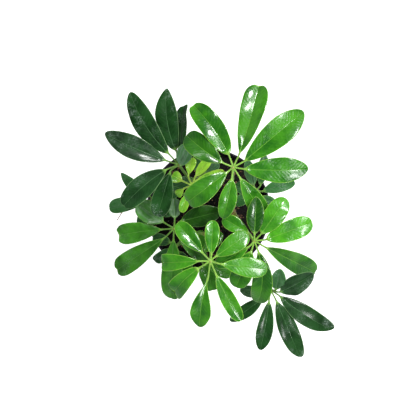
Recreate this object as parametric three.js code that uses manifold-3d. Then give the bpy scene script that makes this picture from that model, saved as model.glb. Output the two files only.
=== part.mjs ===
// Potted umbrella plant: three woody stems with palmate leaves, in soil in a round nursery pot.
// Millimetres and degrees, +Z up. The origin is the centre of the pot's underside.
// Bearings are seen from above, counter-clockwise from +X.
import * as THREE from "three";
import { mergeVertices } from "three/addons/utils/BufferGeometryUtils.js";
import Module from "manifold-3d";

const wasm = await Module();
wasm.setup();

// The pot
const potHeight = 125;
const rimRadius = 75;
const rimBand = 13;
const rimStep = 2.2;
const rimFlare = 0.6;
const lipWidth = 2.2;
const lipRound = 1;
const baseRadius = 55;
const wall = 1.6;
const footWidth = 4;
const footHeight = 2;
const centreDisc = 22;
const holeCircle = 39;
const holeRadius = 4.5;
const holeCount = 8;
const holeSides = 12;
const potSides = 32;

// The soil
const soilDepth = 13;
const soilMound = 3;
const soilCrumb = 0.9;
const soilRings = [0, 15, 29, 42, 53, 62];
const crumbWave = { x: 0.31, y: 0.37 };
const clodWave = { x: 0.53, y: 0.47 };

// What touches keeps this gap
const gap = 0.3;

// The stems
const stemSides = 8;
const stemFoot = 68;
const stemRings = 13;
const scarHeight = 0.45;
const scarSpacing = 17;
const scarSharpness = 4;
const stemTaper = 0.2;
const stemBow = 1.5;
const bud = [
  { rise: 3, share: 0.62 },
  { rise: 8, share: 0.2 },
];

// The leaves
const bladeThickness = 0.9;
const petioleRadius = 1.6;
const petioleFoot = [3.3, 2.1];
const petioleBends = [
  { out: 0.4, climbed: 0.12 },
  { out: 0.85, climbed: 0.5 },
];
const petioleSteps = 8;
const petioleSides = 7;
const hubRadius = 2.7;
const hubCup = [
  { rise: -0.2, share: 1 },
  { rise: 0.5, share: 0.55 },
];
const cupBelow = 0.6;
const stalkRadius = 1.05;
const midrib = 0.7;
const drySides = 5;
const dryRadii = [0.8, 0.7, 0.6, 0.4];
const stalkStations = [0.12, 0.6];
const longBladeStations = [0, 0.1, 0.24, 0.42, 0.6, 0.78, 0.92, 1];
const shortBladeStations = [0, 0.14, 0.34, 0.58, 0.82, 1];
const shortBlade = 32;
const across = [-1, 0, 1];
const bladeFold = 12;
const lineSteps = 48;
const droopPower = 1.5;
const notchPower = 8;

// Outlines of a blade: where it is widest, how its foot tapers, how round its tip is, and where a
// notched tip is cut off
const spoon = { widest: 0.62, taper: 0.85, tip: 2.3, cut: 1 };
const oval = { widest: 0.5, taper: 0.75, tip: 1.8, cut: 1 };
const round = { widest: 0.56, taper: 0.7, tip: 2.3, cut: 1 };
const slender = { widest: 0.7, taper: 1.5, tip: 2.3, cut: 1 };
const pointed = { widest: 0.48, taper: 0.8, tip: 1.5, cut: 1 };
const notched = { widest: 0.66, taper: 0.85, tip: 2.6, cut: 0.95, notch: 0.035 };

const colours = {
  pot: 0x17181a,
  soil: 0x2a1d15,
  bark: 0x7d6a48,
  bright: 0x3f9a2c,
  middle: 0x2f7a2e,
  dark: 0x234f33,
  young: 0x93bf37,
};

// Each stem has its foot and top seen from above, and its leaves from the top down. A leaf has its
// hub, the height where its petiole leaves the stem, and one row for each leaflet:
// bearing of its stalk, stalk, bearing of its blade, reach of the blade seen from above, width,
// lift of the blade's foot above level, droop from there to the tip, and what else it has of its own.
const stems = {
  stem_1: {
    foot: [-9, 18],
    top: [-13, 24, 209],
    radius: 4.2,
    leaves: {
      leaf_1_1: {
        hub: [-18, 28, 235],
        joins: 203,
        colour: colours.young,
        outline: round,
        leaflets: [
          [111, 12, 83, 20, 14, 25, 25],
          [70, 11, 48, 27, 15, 25, 25],
          [52, 7, 17, 35, 14, 10, 15],
          [155, 12, 164, 12, 11, 20, 20],
          [199, 10, 227, 10, 9, -20, 30],
          [239, 10, 252, 22, 11, -5, 20],
          [299, 6, 309, 22, 11, 0, 20],
        ],
      },
      leaf_1_2: {
        hub: [-32, 50, 265],
        joins: 180,
        colour: colours.dark,
        outline: oval,
        leaflets: [
          [163, 15, 156, 73, 25, 8, 25, { sweep: -10 }],
          [133, 18, 121, 77, 25, 15, 22, { sweep: -24 }],
          [102, 16, 98, 67, 25, 15, 25, { sweep: -32 }],
          [83, 17, 85, 48, 21, 10, 20, { roll: -45, sweep: -10 }],
          [201, 15, 219, 62, 25, -5, 20, { sweep: 28 }],
          [217, 12, 253, 51, 19, -15, 20],
          [288, 3, 72, 21, 17, 42, 50, { outline: round }],
        ],
      },
      leaf_1_3: {
        hub: [-64, 12, 190],
        joins: 150,
        colour: colours.dark,
        outline: oval,
        leaflets: [
          [129, 8, 140, 41, 14, 10, 25, { outline: pointed }],
          [188, 8, 189, 43, 18, 8, 25, { outline: round }],
          [233, 7, 235, 21, 15, 5, 25],
          [31, 7, 18, 27, 17, 10, 25],
          [315, 7, 326, 21, 16, 5, 25],
        ],
        dryStalk: [
          [-85, 6, 189],
          [-98, 1, 186],
          [-106, -11, 180],
        ],
      },
      leaf_1_4: {
        hub: [-10, 40, 165],
        joins: 140,
        colour: colours.dark,
        outline: round,
        leaflets: [
          [39, 7, 36, 20, 14, 15, 30],
          [112, 7, 106, 17, 14, 15, 30],
          [202, 7, 201, 29, 16, 10, 25],
          [315, 7, 315, 20, 14, 10, 30],
        ],
      },
    },
  },
  stem_2: {
    foot: [19, 2],
    top: [25, 2, 266],
    radius: 4.6,
    leaves: {
      leaf_2_1: {
        hub: [26, 46, 305],
        joins: 260,
        colour: colours.bright,
        outline: spoon,
        leaflets: [
          [111, 15, 125, 63, 26, 12, 30, { sweep: 22 }],
          [65, 16, 74, 71, 29, 15, 25, { fold: 26, outline: notched }],
          [29, 15, 40, 77, 28, 12, 28],
          [350, 12, 1, 65, 26, 8, 30],
          [303, 13, 303, 53, 23, -12, 22, { fold: 20 }],
          [263, 12, 257, 43, 19, -8, 25, { sweep: -12 }],
          [220, 8, 217, 52, 25, -2, 30],
          [157, 11, 142, 45, 26, 8, 45, { sweep: -15 }],
        ],
      },
      leaf_2_2: {
        hub: [49, -32, 285],
        joins: 238,
        colour: colours.bright,
        outline: spoon,
        leaflets: [
          [90, 7, 88, 40, 19, 30, 25, { outline: oval }],
          [47, 11, 56, 45, 23, 22, 28],
          [7, 13, 19, 53, 24, 10, 30],
          [330, 16, 333, 62, 22, -28, 42],
          [291, 12, 270, 57, 22, -12, 50, { sweep: -44 }],
          [254, 12, 250, 43, 22, -5, 35, { outline: round }],
          [227, 9, 210, 40, 17, -3, 20],
          [124, 10, 150, 32, 17, 0, 20],
        ],
      },
      leaf_2_3: {
        hub: [54, 23, 220],
        joins: 185,
        colour: colours.dark,
        outline: oval,
        leaflets: [
          [346, 7, 14, 38, 15, 5, 25],
          [52, 7, 81, 35, 14, 8, 25],
          [119, 6, 110, 30, 14, 8, 25],
          [218, 7, 210, 22, 13, 5, 25, { outline: round }],
          [321, 8, 333, 20, 14, 5, 25],
          [172, 5, 167, 20, 16, 5, 25],
        ],
      },
    },
  },
  stem_3: {
    foot: [3, -22],
    top: [4, -30, 257],
    radius: 4.5,
    leaves: {
      leaf_3_1: {
        hub: [2, -53, 300],
        joins: 252,
        colour: colours.bright,
        outline: spoon,
        leaflets: [
          [133, 12, 130, 41, 19, 10, 30],
          [81, 7, 88, 36, 16, 15, 30],
          [42, 7, 35, 42, 20, 8, 28],
          [345, 12, 353, 49, 21, 5, 30],
          [293, 16, 298, 55, 16, -8, 20],
          [260, 20, 258, 52, 21, -10, 35, { outline: slender }],
          [219, 18, 225, 40, 18, -12, 50, { outline: notched }],
          [180, 12, 183, 39, 18, 0, 50],
        ],
      },
      leaf_3_2: {
        hub: [-39, -20, 212],
        joins: 188,
        colour: colours.middle,
        outline: spoon,
        leaflets: [
          [149, 13, 145, 34, 22, 12, 25, { outline: round }],
          [185, 14, 189, 51, 23, 5, 30, { outline: notched }],
          [224, 16, 213, 64, 26, -3, 30, { outline: notched }],
          [267, 12, 267, 66, 25, -15, 25],
          [85, 12, 91, 22, 16, 30, 45, { outline: round }],
          [297, 9, 318, 43, 16, -12, 20],
          [47, 11, 14, 47, 24, 8, 15, { outline: oval }],
        ],
      },
      leaf_3_3: {
        hub: [70, -89, 225],
        joins: 160,
        colour: colours.dark,
        outline: oval,
        leaflets: [
          [11, 6, 82, 24, 17, 45, 10, { outline: round }],
          [354, 11, 31, 44, 22, 32, 20, { roll: 12 }],
          [329, 14, 326, 71, 23, -5, 20],
          [297, 15, 294, 70, 21, -12, 20],
          [260, 13, 259, 57, 19, -12, 20],
          [223, 12, 214, 46, 15, -5, 20],
          [188, 12, 165, 24, 12, 5, 20],
        ],
      },
      leaf_3_4: {
        hub: [-10, -55, 172],
        joins: 140,
        colour: colours.dark,
        outline: round,
        leaflets: [
          [202, 7, 205, 22, 16, 10, 30],
          [297, 8, 291, 32, 16, 5, 30],
          [333, 8, 329, 34, 16, 8, 30],
          [56, 8, 48, 31, 15, 12, 30],
          [98, 8, 85, 24, 15, 15, 30],
        ],
      },
      leaf_3_5: {
        hub: [-38, -41, 165],
        joins: 128,
        colour: colours.dark,
        outline: round,
        leaflets: [
          [202, 7, 208, 25, 15, 10, 30],
          [149, 7, 164, 22, 14, 12, 30],
          [292, 7, 298, 20, 14, 5, 30],
          [45, 7, 40, 18, 14, 12, 30],
        ],
      },
    },
  },
};

const degrees = THREE.MathUtils.degToRad;
const up = new THREE.Vector3(0, 0, 1);

// Closed geometry to a manifold-3d solid, with shared vertices merged and collapsed faces dropped.
function solidFrom(geometry) {
  geometry.deleteAttribute("normal");
  geometry.deleteAttribute("uv");
  const merged = mergeVertices(geometry, 1e-4);
  const faces = merged.index.array;
  const kept = [];
  for (let i = 0; i < faces.length; i += 3) {
    const [a, b, c] = faces.slice(i, i + 3);
    if (a !== b && b !== c && c !== a) kept.push(a, b, c);
  }
  const vertProperties = new Float32Array(merged.attributes.position.array);
  const triVerts = new Uint32Array(kept);
  return new wasm.Manifold(new wasm.Mesh({ numProp: 3, vertProperties, triVerts }));
}

function geometryFrom(solid) {
  const mesh = solid.getMesh();
  const geometry = new THREE.BufferGeometry();
  geometry.setAttribute("position", new THREE.BufferAttribute(mesh.vertProperties, 3));
  geometry.setIndex(new THREE.BufferAttribute(mesh.triVerts, 1));
  geometry.computeVertexNormals();
  return geometry;
}

function geometryOfFaces(points, faces) {
  const geometry = new THREE.BufferGeometry().setFromPoints(points);
  geometry.setIndex(faces);
  return geometry;
}

function joined(solids) {
  return solids.reduce((whole, next) => whole.add(next));
}

// Closed tube through points, with its own radius at each; the ends are capped.
function tube(points, radii, sides) {
  const rings = [];
  const tangentAt = (i) => {
    const before = points[Math.max(i - 1, 0)];
    const after = points[Math.min(i + 1, points.length - 1)];
    return after.clone().sub(before).normalize();
  };
  let tangent = tangentAt(0);
  const start = Math.abs(tangent.z) > 0.9 ? new THREE.Vector3(1, 0, 0) : up;
  const normal = start.clone().cross(tangent).normalize();
  points.forEach((point, i) => {
    const next = tangentAt(i);
    normal.applyQuaternion(new THREE.Quaternion().setFromUnitVectors(tangent, next));
    tangent = next;
    const binormal = tangent.clone().cross(normal);
    for (let side = 0; side < sides; side++) {
      const angle = (2 * Math.PI * side) / sides;
      const spoke = normal.clone().multiplyScalar(Math.cos(angle) * radii[i]);
      spoke.addScaledVector(binormal, Math.sin(angle) * radii[i]);
      rings.push(point.clone().add(spoke));
    }
  });
  const faces = [];
  const last = (points.length - 1) * sides;
  for (let i = 0; i < last; i += sides) {
    for (let side = 0; side < sides; side++) {
      const beside = (side + 1) % sides;
      faces.push(i + side, i + beside, i + sides + beside);
      faces.push(i + side, i + sides + beside, i + sides + side);
    }
  }
  for (let side = 1; side < sides - 1; side++) {
    faces.push(0, side + 1, side);
    faces.push(last, last + side, last + side + 1);
  }
  return solidFrom(geometryOfFaces(rings, faces));
}

// Profile points (radius, height) turned round the pot's axis.
function turned(profile) {
  const points = profile.map(([radius, height]) => new THREE.Vector2(radius, height));
  return new THREE.LatheGeometry(points, potSides).rotateX(Math.PI / 2);
}

// The radius inside the pot's wall at a height under the rim band.
function innerRadius(height) {
  const underBand = potHeight - rimBand;
  const outerThere = baseRadius + ((rimRadius - rimStep - baseRadius) * height) / underBand;
  return outerThere - wall;
}

// The pot stands on its foot ring and on the disc at its centre.
function makePot() {
  const underBand = potHeight - rimBand;
  const floor = footHeight + wall;
  const body = solidFrom(
    turned([
      [0, 0],
      [centreDisc, 0],
      [centreDisc + 1, footHeight],
      [baseRadius - footWidth - 1, footHeight],
      [baseRadius - footWidth, 0],
      [baseRadius, 0],
      [rimRadius - rimStep, underBand],
      [rimRadius - rimFlare, underBand + rimFlare],
      [rimRadius, potHeight - lipRound],
      [rimRadius - lipRound, potHeight],
      [rimRadius - lipWidth, potHeight - lipRound],
      [rimRadius - lipWidth - rimFlare, underBand + lipWidth],
      [innerRadius(underBand), underBand],
      [innerRadius(floor), floor],
      [0, floor],
    ]),
  );
  const holes = Array.from({ length: holeCount }, (_, i) => {
    const angle = (2 * Math.PI * i) / holeCount;
    const drill = new THREE.CylinderGeometry(holeRadius, holeRadius, 3 * floor, holeSides);
    drill.rotateX(Math.PI / 2);
    drill.translate(holeCircle * Math.cos(angle), holeCircle * Math.sin(angle), 0);
    return solidFrom(drill);
  });
  return body.subtract(joined(holes));
}

// The soil rises a little towards the middle, with crumbs and clods as waves across it.
function soilHeight(x, y) {
  const fromCentre = Math.hypot(x, y) / soilRings.at(-1);
  const crumbs = Math.sin(crumbWave.x * x + 1.3) * Math.sin(crumbWave.y * y + 0.4);
  const clods = Math.sin(clodWave.x * x - clodWave.y * y);
  const mound = soilMound * (1 - fromCentre ** 2);
  return potHeight - soilDepth + mound + soilCrumb * (crumbs + clods);
}

// The soil fills the pot; its top is a disc of rings whose points are then lifted to their height.
function makeSoil() {
  const floor = footHeight + wall + gap;
  const edge = potHeight - soilDepth - soilMound;
  const surface = soilRings.map((radius) => [radius, edge]).reverse();
  const geometry = turned([
    [0, floor],
    [innerRadius(floor) - gap, floor],
    [innerRadius(edge) - gap, edge],
    ...surface,
  ]);
  const place = geometry.attributes.position;
  for (let i = 0; i < place.count; i++) {
    const [x, y, z] = [place.getX(i), place.getY(i), place.getZ(i)];
    const onTop = z > edge - gap && Math.hypot(x, y) < soilRings.at(-1) + gap;
    if (onTop) place.setZ(i, soilHeight(x, y));
  }
  return solidFrom(geometry);
}

// The middle line of a stem, bowed a little outwards between its foot and its top.
function stemPoint(stem, height) {
  const [footX, footY] = stem.foot;
  const [topX, topY, topZ] = stem.top;
  const share = (height - stemFoot) / (topZ - stemFoot);
  const bow = stemBow * Math.sin(Math.PI * share);
  const lean = Math.hypot(topX - footX, topY - footY);
  const x = footX + (topX - footX) * share + (bow * (topX - footX)) / lean;
  const y = footY + (topY - footY) * share + (bow * (topY - footY)) / lean;
  return new THREE.Vector3(x, y, height);
}

// A stem narrows upwards, with a ring standing out where each old leaf grew.
function stemRadius(stem, height) {
  const share = (height - stemFoot) / (stem.top[2] - stemFoot);
  const scar = Math.max(0, Math.cos((2 * Math.PI * height) / scarSpacing)) ** scarSharpness;
  return stem.radius * (1 - stemTaper * share) + scarHeight * scar;
}

// A stem with its bud. With room, it is that much wider, higher and deeper all round: the space
// that the stem keeps free in the soil and at the foot of each petiole.
function makeStem(stem, room = 0) {
  const rise = (stem.top[2] - stemFoot) / (stemRings - 1);
  const heights = Array.from({ length: stemRings }, (_, i) => stemFoot + rise * i);
  const points = heights.map((height) => stemPoint(stem, height));
  const radii = heights.map((height) => stemRadius(stem, height) + room);
  const top = points.at(-1);
  for (const part of bud) {
    points.push(top.clone().addScaledVector(up, part.rise + room));
    radii.push(stem.radius * part.share + room);
  }
  if (room > 0) {
    points.unshift(points[0].clone().addScaledVector(up, -2 * room));
    radii.unshift(radii[0]);
  }
  return tube(points, radii, stemSides);
}

// The half-width of a blade at a share of its length, as a share of its greatest half-width.
function halfWidth({ widest, taper, tip, cut }, share) {
  if (share < widest) return Math.sin((Math.PI / 2) * (share / widest)) ** taper;
  const past = (cut * (share - widest)) / (1 - widest);
  return Math.max(0, 1 - past ** tip) ** (1 / tip);
}

// The middle line of a blade: it leaves its foot at the lift, bends down towards the tip, and may
// sweep to one side. The reach is its length seen from above.
function bladeLine(leaflet, foot) {
  const headingAt = (share) => degrees(leaflet.bearing + leaflet.sweep * (share - 0.5));
  const aheadAt = (share) => {
    const pitch = degrees(leaflet.lift - leaflet.droop * share ** droopPower);
    const heading = headingAt(share);
    return new THREE.Vector3(
      Math.cos(pitch) * Math.cos(heading),
      Math.cos(pitch) * Math.sin(heading),
      Math.sin(pitch),
    );
  };
  const middles = Array.from({ length: lineSteps }, (_, i) => (i + 0.5) / lineSteps);
  const steps = middles.map(aheadAt);
  const stride = leaflet.reach / steps.reduce((sum, step) => sum + Math.hypot(step.x, step.y), 0);
  const points = [foot.clone()];
  for (const step of steps) points.push(points.at(-1).clone().addScaledVector(step, stride));
  return (share) => {
    const i = Math.min(Math.floor(share * lineSteps), lineSteps - 1);
    const point = points[i].clone().lerp(points[i + 1], share * lineSteps - i);
    const heading = headingAt(share);
    const ahead = aheadAt(share);
    const side = new THREE.Vector3(-Math.sin(heading), Math.cos(heading), 0);
    side.applyAxisAngle(ahead, degrees(leaflet.roll));
    return { point, side, face: ahead.cross(side) };
  };
}

// The stalk's two sections start inside the hub; they are as thick as they are wide.
function stalkSections(leaflet, hub, foot) {
  const heading = degrees(leaflet.stalkBearing);
  const side = new THREE.Vector3(-Math.sin(heading), Math.cos(heading), 0);
  const face = foot.clone().sub(hub).normalize().cross(side);
  return stalkStations.map((station) => ({
    point: hub.clone().lerp(foot, station),
    side,
    face,
    half: stalkRadius,
    edge: stalkRadius * 0.5,
    above: stalkRadius,
    below: stalkRadius,
    fold: 0,
    notch: 0,
  }));
}

// The blade's sections get their width from its outline; the midrib stands out below.
function bladeSections(leaflet, line) {
  const stations = leaflet.reach > shortBlade ? longBladeStations : shortBladeStations;
  const { outline, width } = leaflet;
  return stations.map((station) => ({
    ...line(station),
    half: Math.max(stalkRadius, (width / 2) * halfWidth(outline, station)),
    edge: bladeThickness / 2,
    above: bladeThickness / 2,
    below: bladeThickness / 2 + midrib * (1 - station),
    fold: degrees(leaflet.fold),
    notch: (outline.notch ?? 0) * leaflet.reach * station ** notchPower,
  }));
}

// A closed slab through sections, with its upper and lower faces split alike.
function slab(sections) {
  const upper = [];
  const lower = [];
  for (const section of sections) {
    const ahead = section.side.clone().cross(section.face);
    for (const place of across) {
      const fromMiddle = Math.abs(place);
      const wide = section.half * Math.cos(section.fold);
      const high = section.half * Math.sin(section.fold);
      const point = section.point.clone().addScaledVector(section.side, place * wide);
      point.addScaledVector(section.face, fromMiddle * high);
      point.addScaledVector(ahead, -section.notch * (1 - fromMiddle));
      const above = fromMiddle ? section.edge : section.above;
      const below = fromMiddle ? section.edge : section.below;
      upper.push(point.clone().addScaledVector(section.face, above));
      lower.push(point.clone().addScaledVector(section.face, -below));
    }
  }
  const faces = [];
  const columns = across.length;
  const under = upper.length;
  const end = under - columns;
  for (let row = 0; row < end; row += columns) {
    for (let right = row; right < row + columns - 1; right++) {
      const ahead = right + columns;
      faces.push(right, ahead + 1, right + 1, right, ahead, ahead + 1);
      faces.push(under + right, under + right + 1, under + ahead + 1);
      faces.push(under + right, under + ahead + 1, under + ahead);
    }
    const left = row + columns - 1;
    faces.push(row, under + row, under + row + columns);
    faces.push(row, under + row + columns, row + columns);
    faces.push(left, left + columns, under + left + columns);
    faces.push(left, under + left + columns, under + left);
  }
  for (let right = 0; right < columns - 1; right++) {
    const last = end + right;
    faces.push(right, right + 1, under + right + 1, right, under + right + 1, under + right);
    faces.push(last, under + last + 1, last + 1, last, under + last, under + last + 1);
  }
  return solidFrom(geometryOfFaces([...upper, ...lower], faces));
}

// A leaflet is the narrow stalk first, and then the blade, folded a little along its midrib.
function makeLeaflet(row, leaf, hub) {
  const [stalkBearing, stalk, bearing, reach, width, lift, droop, own = {}] = row;
  const plain = { fold: bladeFold, roll: 0, sweep: 0, outline: leaf.outline };
  const leaflet = { ...plain, stalkBearing, bearing, reach, width, lift, droop, ...own };
  const along = degrees(stalkBearing);
  const rise = stalk * Math.tan(degrees(lift));
  const stalkLine = new THREE.Vector3(stalk * Math.cos(along), stalk * Math.sin(along), rise);
  const foot = hub.clone().add(stalkLine);
  const blade = bladeSections(leaflet, bladeLine(leaflet, foot));
  return slab([...stalkSections(leaflet, hub, foot), ...blade]);
}

// A petiole leaves its stem sideways from a swollen foot, arches up and widens into the hub.
function makePetiole(stem, leaf, hub) {
  const start = stemPoint(stem, leaf.joins);
  const outward = new THREE.Vector3(hub.x - start.x, hub.y - start.y, 0);
  const climb = hub.z - start.z;
  const bends = petioleBends.map(({ out, climbed }) =>
    start.clone().addScaledVector(outward, out).addScaledVector(up, climb * climbed),
  );
  const cup = hub.clone().addScaledVector(up, -cupBelow * hubRadius);
  const points = new THREE.CubicBezierCurve3(start, ...bends, cup).getPoints(petioleSteps);
  const radii = points.map((_, i) => petioleFoot[i] ?? petioleRadius);
  for (const part of hubCup) {
    points.push(hub.clone().addScaledVector(up, part.rise * hubRadius));
    radii.push(part.share * hubRadius);
  }
  return tube(points, radii, petioleSides);
}

// A leaf keeps the gap to its stem where its petiole saddles it.
function makeLeaf(stem, leaf) {
  const hub = new THREE.Vector3(...leaf.hub);
  const pieces = [makePetiole(stem, leaf, hub)];
  for (const row of leaf.leaflets) pieces.push(makeLeaflet(row, leaf, hub));
  if (leaf.dryStalk) {
    const points = [hub, ...leaf.dryStalk.map((place) => new THREE.Vector3(...place))];
    pieces.push(tube(points, dryRadii, drySides));
  }
  return joined(pieces).subtract(makeStem(stem, gap));
}

function addMesh(group, name, solid, colour, roughness) {
  const material = new THREE.MeshStandardMaterial({ color: colour, roughness, metalness: 0 });
  const mesh = new THREE.Mesh(geometryFrom(solid), material);
  mesh.name = name;
  group.add(mesh);
}

const plant = new THREE.Group();
addMesh(plant, "pot", makePot(), colours.pot, 0.55);
const stemHoles = Object.values(stems).map((stem) => makeStem(stem, gap));
addMesh(plant, "soil", makeSoil().subtract(joined(stemHoles)), colours.soil, 0.95);
for (const [stemName, stem] of Object.entries(stems)) {
  addMesh(plant, stemName, makeStem(stem), colours.bark, 0.8);
  for (const [leafName, leaf] of Object.entries(stem.leaves)) {
    addMesh(plant, leafName, makeLeaf(stem, leaf), leaf.colour, 0.35);
  }
}

export default plant;
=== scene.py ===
import bpy
import numpy as np
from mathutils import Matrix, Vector


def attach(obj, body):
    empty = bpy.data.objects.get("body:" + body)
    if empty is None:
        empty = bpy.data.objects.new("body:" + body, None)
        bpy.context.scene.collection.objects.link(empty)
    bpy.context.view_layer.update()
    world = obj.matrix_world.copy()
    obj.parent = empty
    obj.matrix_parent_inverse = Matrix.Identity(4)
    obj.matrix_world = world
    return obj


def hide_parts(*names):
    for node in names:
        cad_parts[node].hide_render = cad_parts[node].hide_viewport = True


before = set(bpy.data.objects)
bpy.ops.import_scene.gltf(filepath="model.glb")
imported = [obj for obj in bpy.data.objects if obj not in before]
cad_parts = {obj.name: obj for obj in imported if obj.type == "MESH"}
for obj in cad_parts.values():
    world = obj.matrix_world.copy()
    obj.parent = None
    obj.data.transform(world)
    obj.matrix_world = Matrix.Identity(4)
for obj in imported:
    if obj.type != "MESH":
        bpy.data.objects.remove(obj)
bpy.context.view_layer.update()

mm = 0.001

print("camera, lamps and floor")

view = {"place": (-0.5 * mm, 3.1 * mm, 1.5), "lens": 98.4, "sensor": 36.0}
studio = {
    "floorSize": 40.0,
    "floorColour": (0.72, 0.72, 0.72, 1),
    "floorRough": 0.8,
    "floorGlow": 0.9,  # seen by the camera alone
    "skyHorizon": 0.42,
    "skyOverhead": 0.06,  # level leaves mirror this part
    "skyFade": (0.4, 0.8),  # cosine of the angle from straight up
    "skyMirrored": 0.45,  # share of the sky's light that gleams in the leaves
    "lampTarget": (0, 0, 0.25),
}
lamps = {
    "keyLamp": {"bearing": 46, "fromUp": 32, "distance": 1.9, "size": 0.42, "power": 18, "gleam": True},
    "windowLamp": {"bearing": 10, "fromUp": 26, "distance": 1.9, "size": 0.42, "power": 13, "gleam": True},
    "lowLamp": {"bearing": 300, "fromUp": 42, "distance": 1.9, "size": 0.26, "power": 6, "gleam": True},
    "sideLamp": {"bearing": 165, "fromUp": 62, "distance": 2.2, "size": 1.2, "power": 2.5, "gleam": False},
    "topLamp": {"bearing": 190, "fromUp": 15, "distance": 2.2, "size": 0.9, "power": 10, "gleam": False},
}


def makeCamera():
    camera = bpy.data.objects.new("camera", bpy.data.cameras.new("camera"))
    camera.data.sensor_width = view["sensor"]
    camera.data.lens = view["lens"]
    camera.location = view["place"]
    bpy.context.scene.collection.objects.link(camera)
    bpy.context.scene.camera = camera


def makeLamps():
    # bearing runs counter-clockwise from +X, fromUp is the angle away from straight up; a lamp with no
    # gleam lights the leaves and isn't mirrored in them
    target = Vector(studio["lampTarget"])
    for name, lamp in lamps.items():
        light = bpy.data.lights.new(name, "AREA")
        light.shape = "DISK"
        light.size = lamp["size"]
        light.energy = lamp["power"]
        turn, tilt = np.radians(lamp["bearing"]), np.radians(lamp["fromUp"])
        out = Vector((np.sin(tilt) * np.cos(turn), np.sin(tilt) * np.sin(turn), np.cos(tilt)))
        thing = bpy.data.objects.new(name, light)
        thing.location = target + out * lamp["distance"]
        thing.rotation_euler = out.to_track_quat("Z", "Y").to_euler()
        thing.visible_glossy = lamp["gleam"]
        bpy.context.scene.collection.objects.link(thing)


def feed(tree, socket, value):
    # joins a socket to another, or gives it a plain number or colour
    if isinstance(value, bpy.types.NodeSocket):
        tree.links.new(value, socket)
    else:
        socket.default_value = value


def dress(tree, made, **values):
    # sets a node's properties, or feeds its sockets where the name is a socket's
    for name, value in values.items():
        if hasattr(made, name):
            setattr(made, name, value)
        else:
            feed(tree, made.inputs[name.replace("_", " ")], value)
    return made


def node(tree, kind, **values):
    return dress(tree, tree.nodes.new("ShaderNode" + kind), **values)


def maths(tree, operation, *values):
    made = node(tree, "Math", operation=operation)
    for socket, value in zip(made.inputs, values):
        feed(tree, socket, value)
    return made.outputs[0]


def times(tree, first, *others):
    # the product of all its values
    for other in others:
        first = maths(tree, "MULTIPLY", first, other)
    return first


def ramp(tree, value, start, end, low=0.0, high=1.0):
    # smooth step of a value from low at start to high at end
    made = node(tree, "MapRange", interpolation_type="SMOOTHSTEP", Value=value)
    return dress(tree, made, From_Min=start, From_Max=end, To_Min=low, To_Max=high).outputs["Result"]


def mixed(tree, share, first, second, blend="MIX"):
    made = node(tree, "Mix", data_type="RGBA", blend_type=blend, Factor=share)
    # a Mix node has sockets A and B for each kind of value; those for colours have these numbers
    feed(tree, made.inputs[6], first)
    feed(tree, made.inputs[7], second)
    return made.outputs[2]


def noise(tree, place, scale, detail, rough):
    return node(tree, "TexNoise", Scale=scale, Detail=detail, Roughness=rough, Vector=place).outputs["Fac"]


def relief(tree, height, strength, distance):
    # the normal of a surface raised by a height
    return node(tree, "Bump", Strength=strength, Distance=distance, Height=height).outputs[0]


def objectPlace(tree):
    return node(tree, "TexCoord").outputs["Object"]


def split(tree, vector):
    return node(tree, "SeparateXYZ", Vector=vector).outputs


def makeSky():
    # The camera sees white. The rest is lit by a sky that is darker overhead, and mirrors less of it.
    world = bpy.data.worlds.new("studioSky")
    bpy.context.scene.world = world
    world.use_nodes = True
    tree = world.node_tree
    tree.nodes.clear()
    up = split(tree, node(tree, "TexCoord").outputs["Generated"])["Z"]
    lit = ramp(tree, up, *studio["skyFade"], studio["skyHorizon"], studio["skyOverhead"])
    rays = node(tree, "LightPath").outputs
    mirrored = maths(tree, "MULTIPLY_ADD", rays["Is Glossy Ray"], studio["skyMirrored"] - 1, 1)
    strength = maths(tree, "MAXIMUM", times(tree, lit, mirrored), rays["Is Camera Ray"])
    back = node(tree, "Background", Color=(1, 1, 1, 1), Strength=strength)
    node(tree, "OutputWorld", Surface=back.outputs[0])
    bpy.context.scene.view_settings.view_transform = "Standard"


def newMaterial(name, **constants):
    # a Principled material; constants are its plain socket values
    material = bpy.data.materials.new(name)
    material.use_nodes = True
    tree = material.node_tree
    tree.nodes.clear()
    shader = node(tree, "BsdfPrincipled", **constants)
    node(tree, "OutputMaterial", Surface=shader.outputs[0])
    return material, tree, shader


def makeFloor():
    half = studio["floorSize"] / 2
    mesh = bpy.data.meshes.new("floor")
    corners = [(-half, -half, 0), (half, -half, 0), (half, half, 0), (-half, half, 0)]
    mesh.from_pydata(corners, [], [(0, 1, 2, 3)])
    floor = bpy.data.objects.new("floor", mesh)
    bpy.context.scene.collection.objects.link(floor)
    material, tree, shader = newMaterial(
        "paleFloor",
        Base_Color=studio["floorColour"],
        Roughness=studio["floorRough"],
        Emission_Color=(1, 1, 1, 1),
    )
    seen = node(tree, "LightPath").outputs["Is Camera Ray"]
    dress(tree, shader, Emission_Strength=times(tree, seen, studio["floorGlow"]))
    mesh.materials.append(material)


makeCamera()
makeLamps()
makeSky()
makeFloor()

print("shapes")


def smooth(value):
    # 0 to 1 by 3 * value ** 2 - 2 * value ** 3
    value = np.clip(value, 0, 1)
    return value * value * (3 - 2 * value)


def unit(vectors):
    # each vector over its own length
    return vectors / np.linalg.norm(vectors, axis=-1, keepdims=True)


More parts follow.
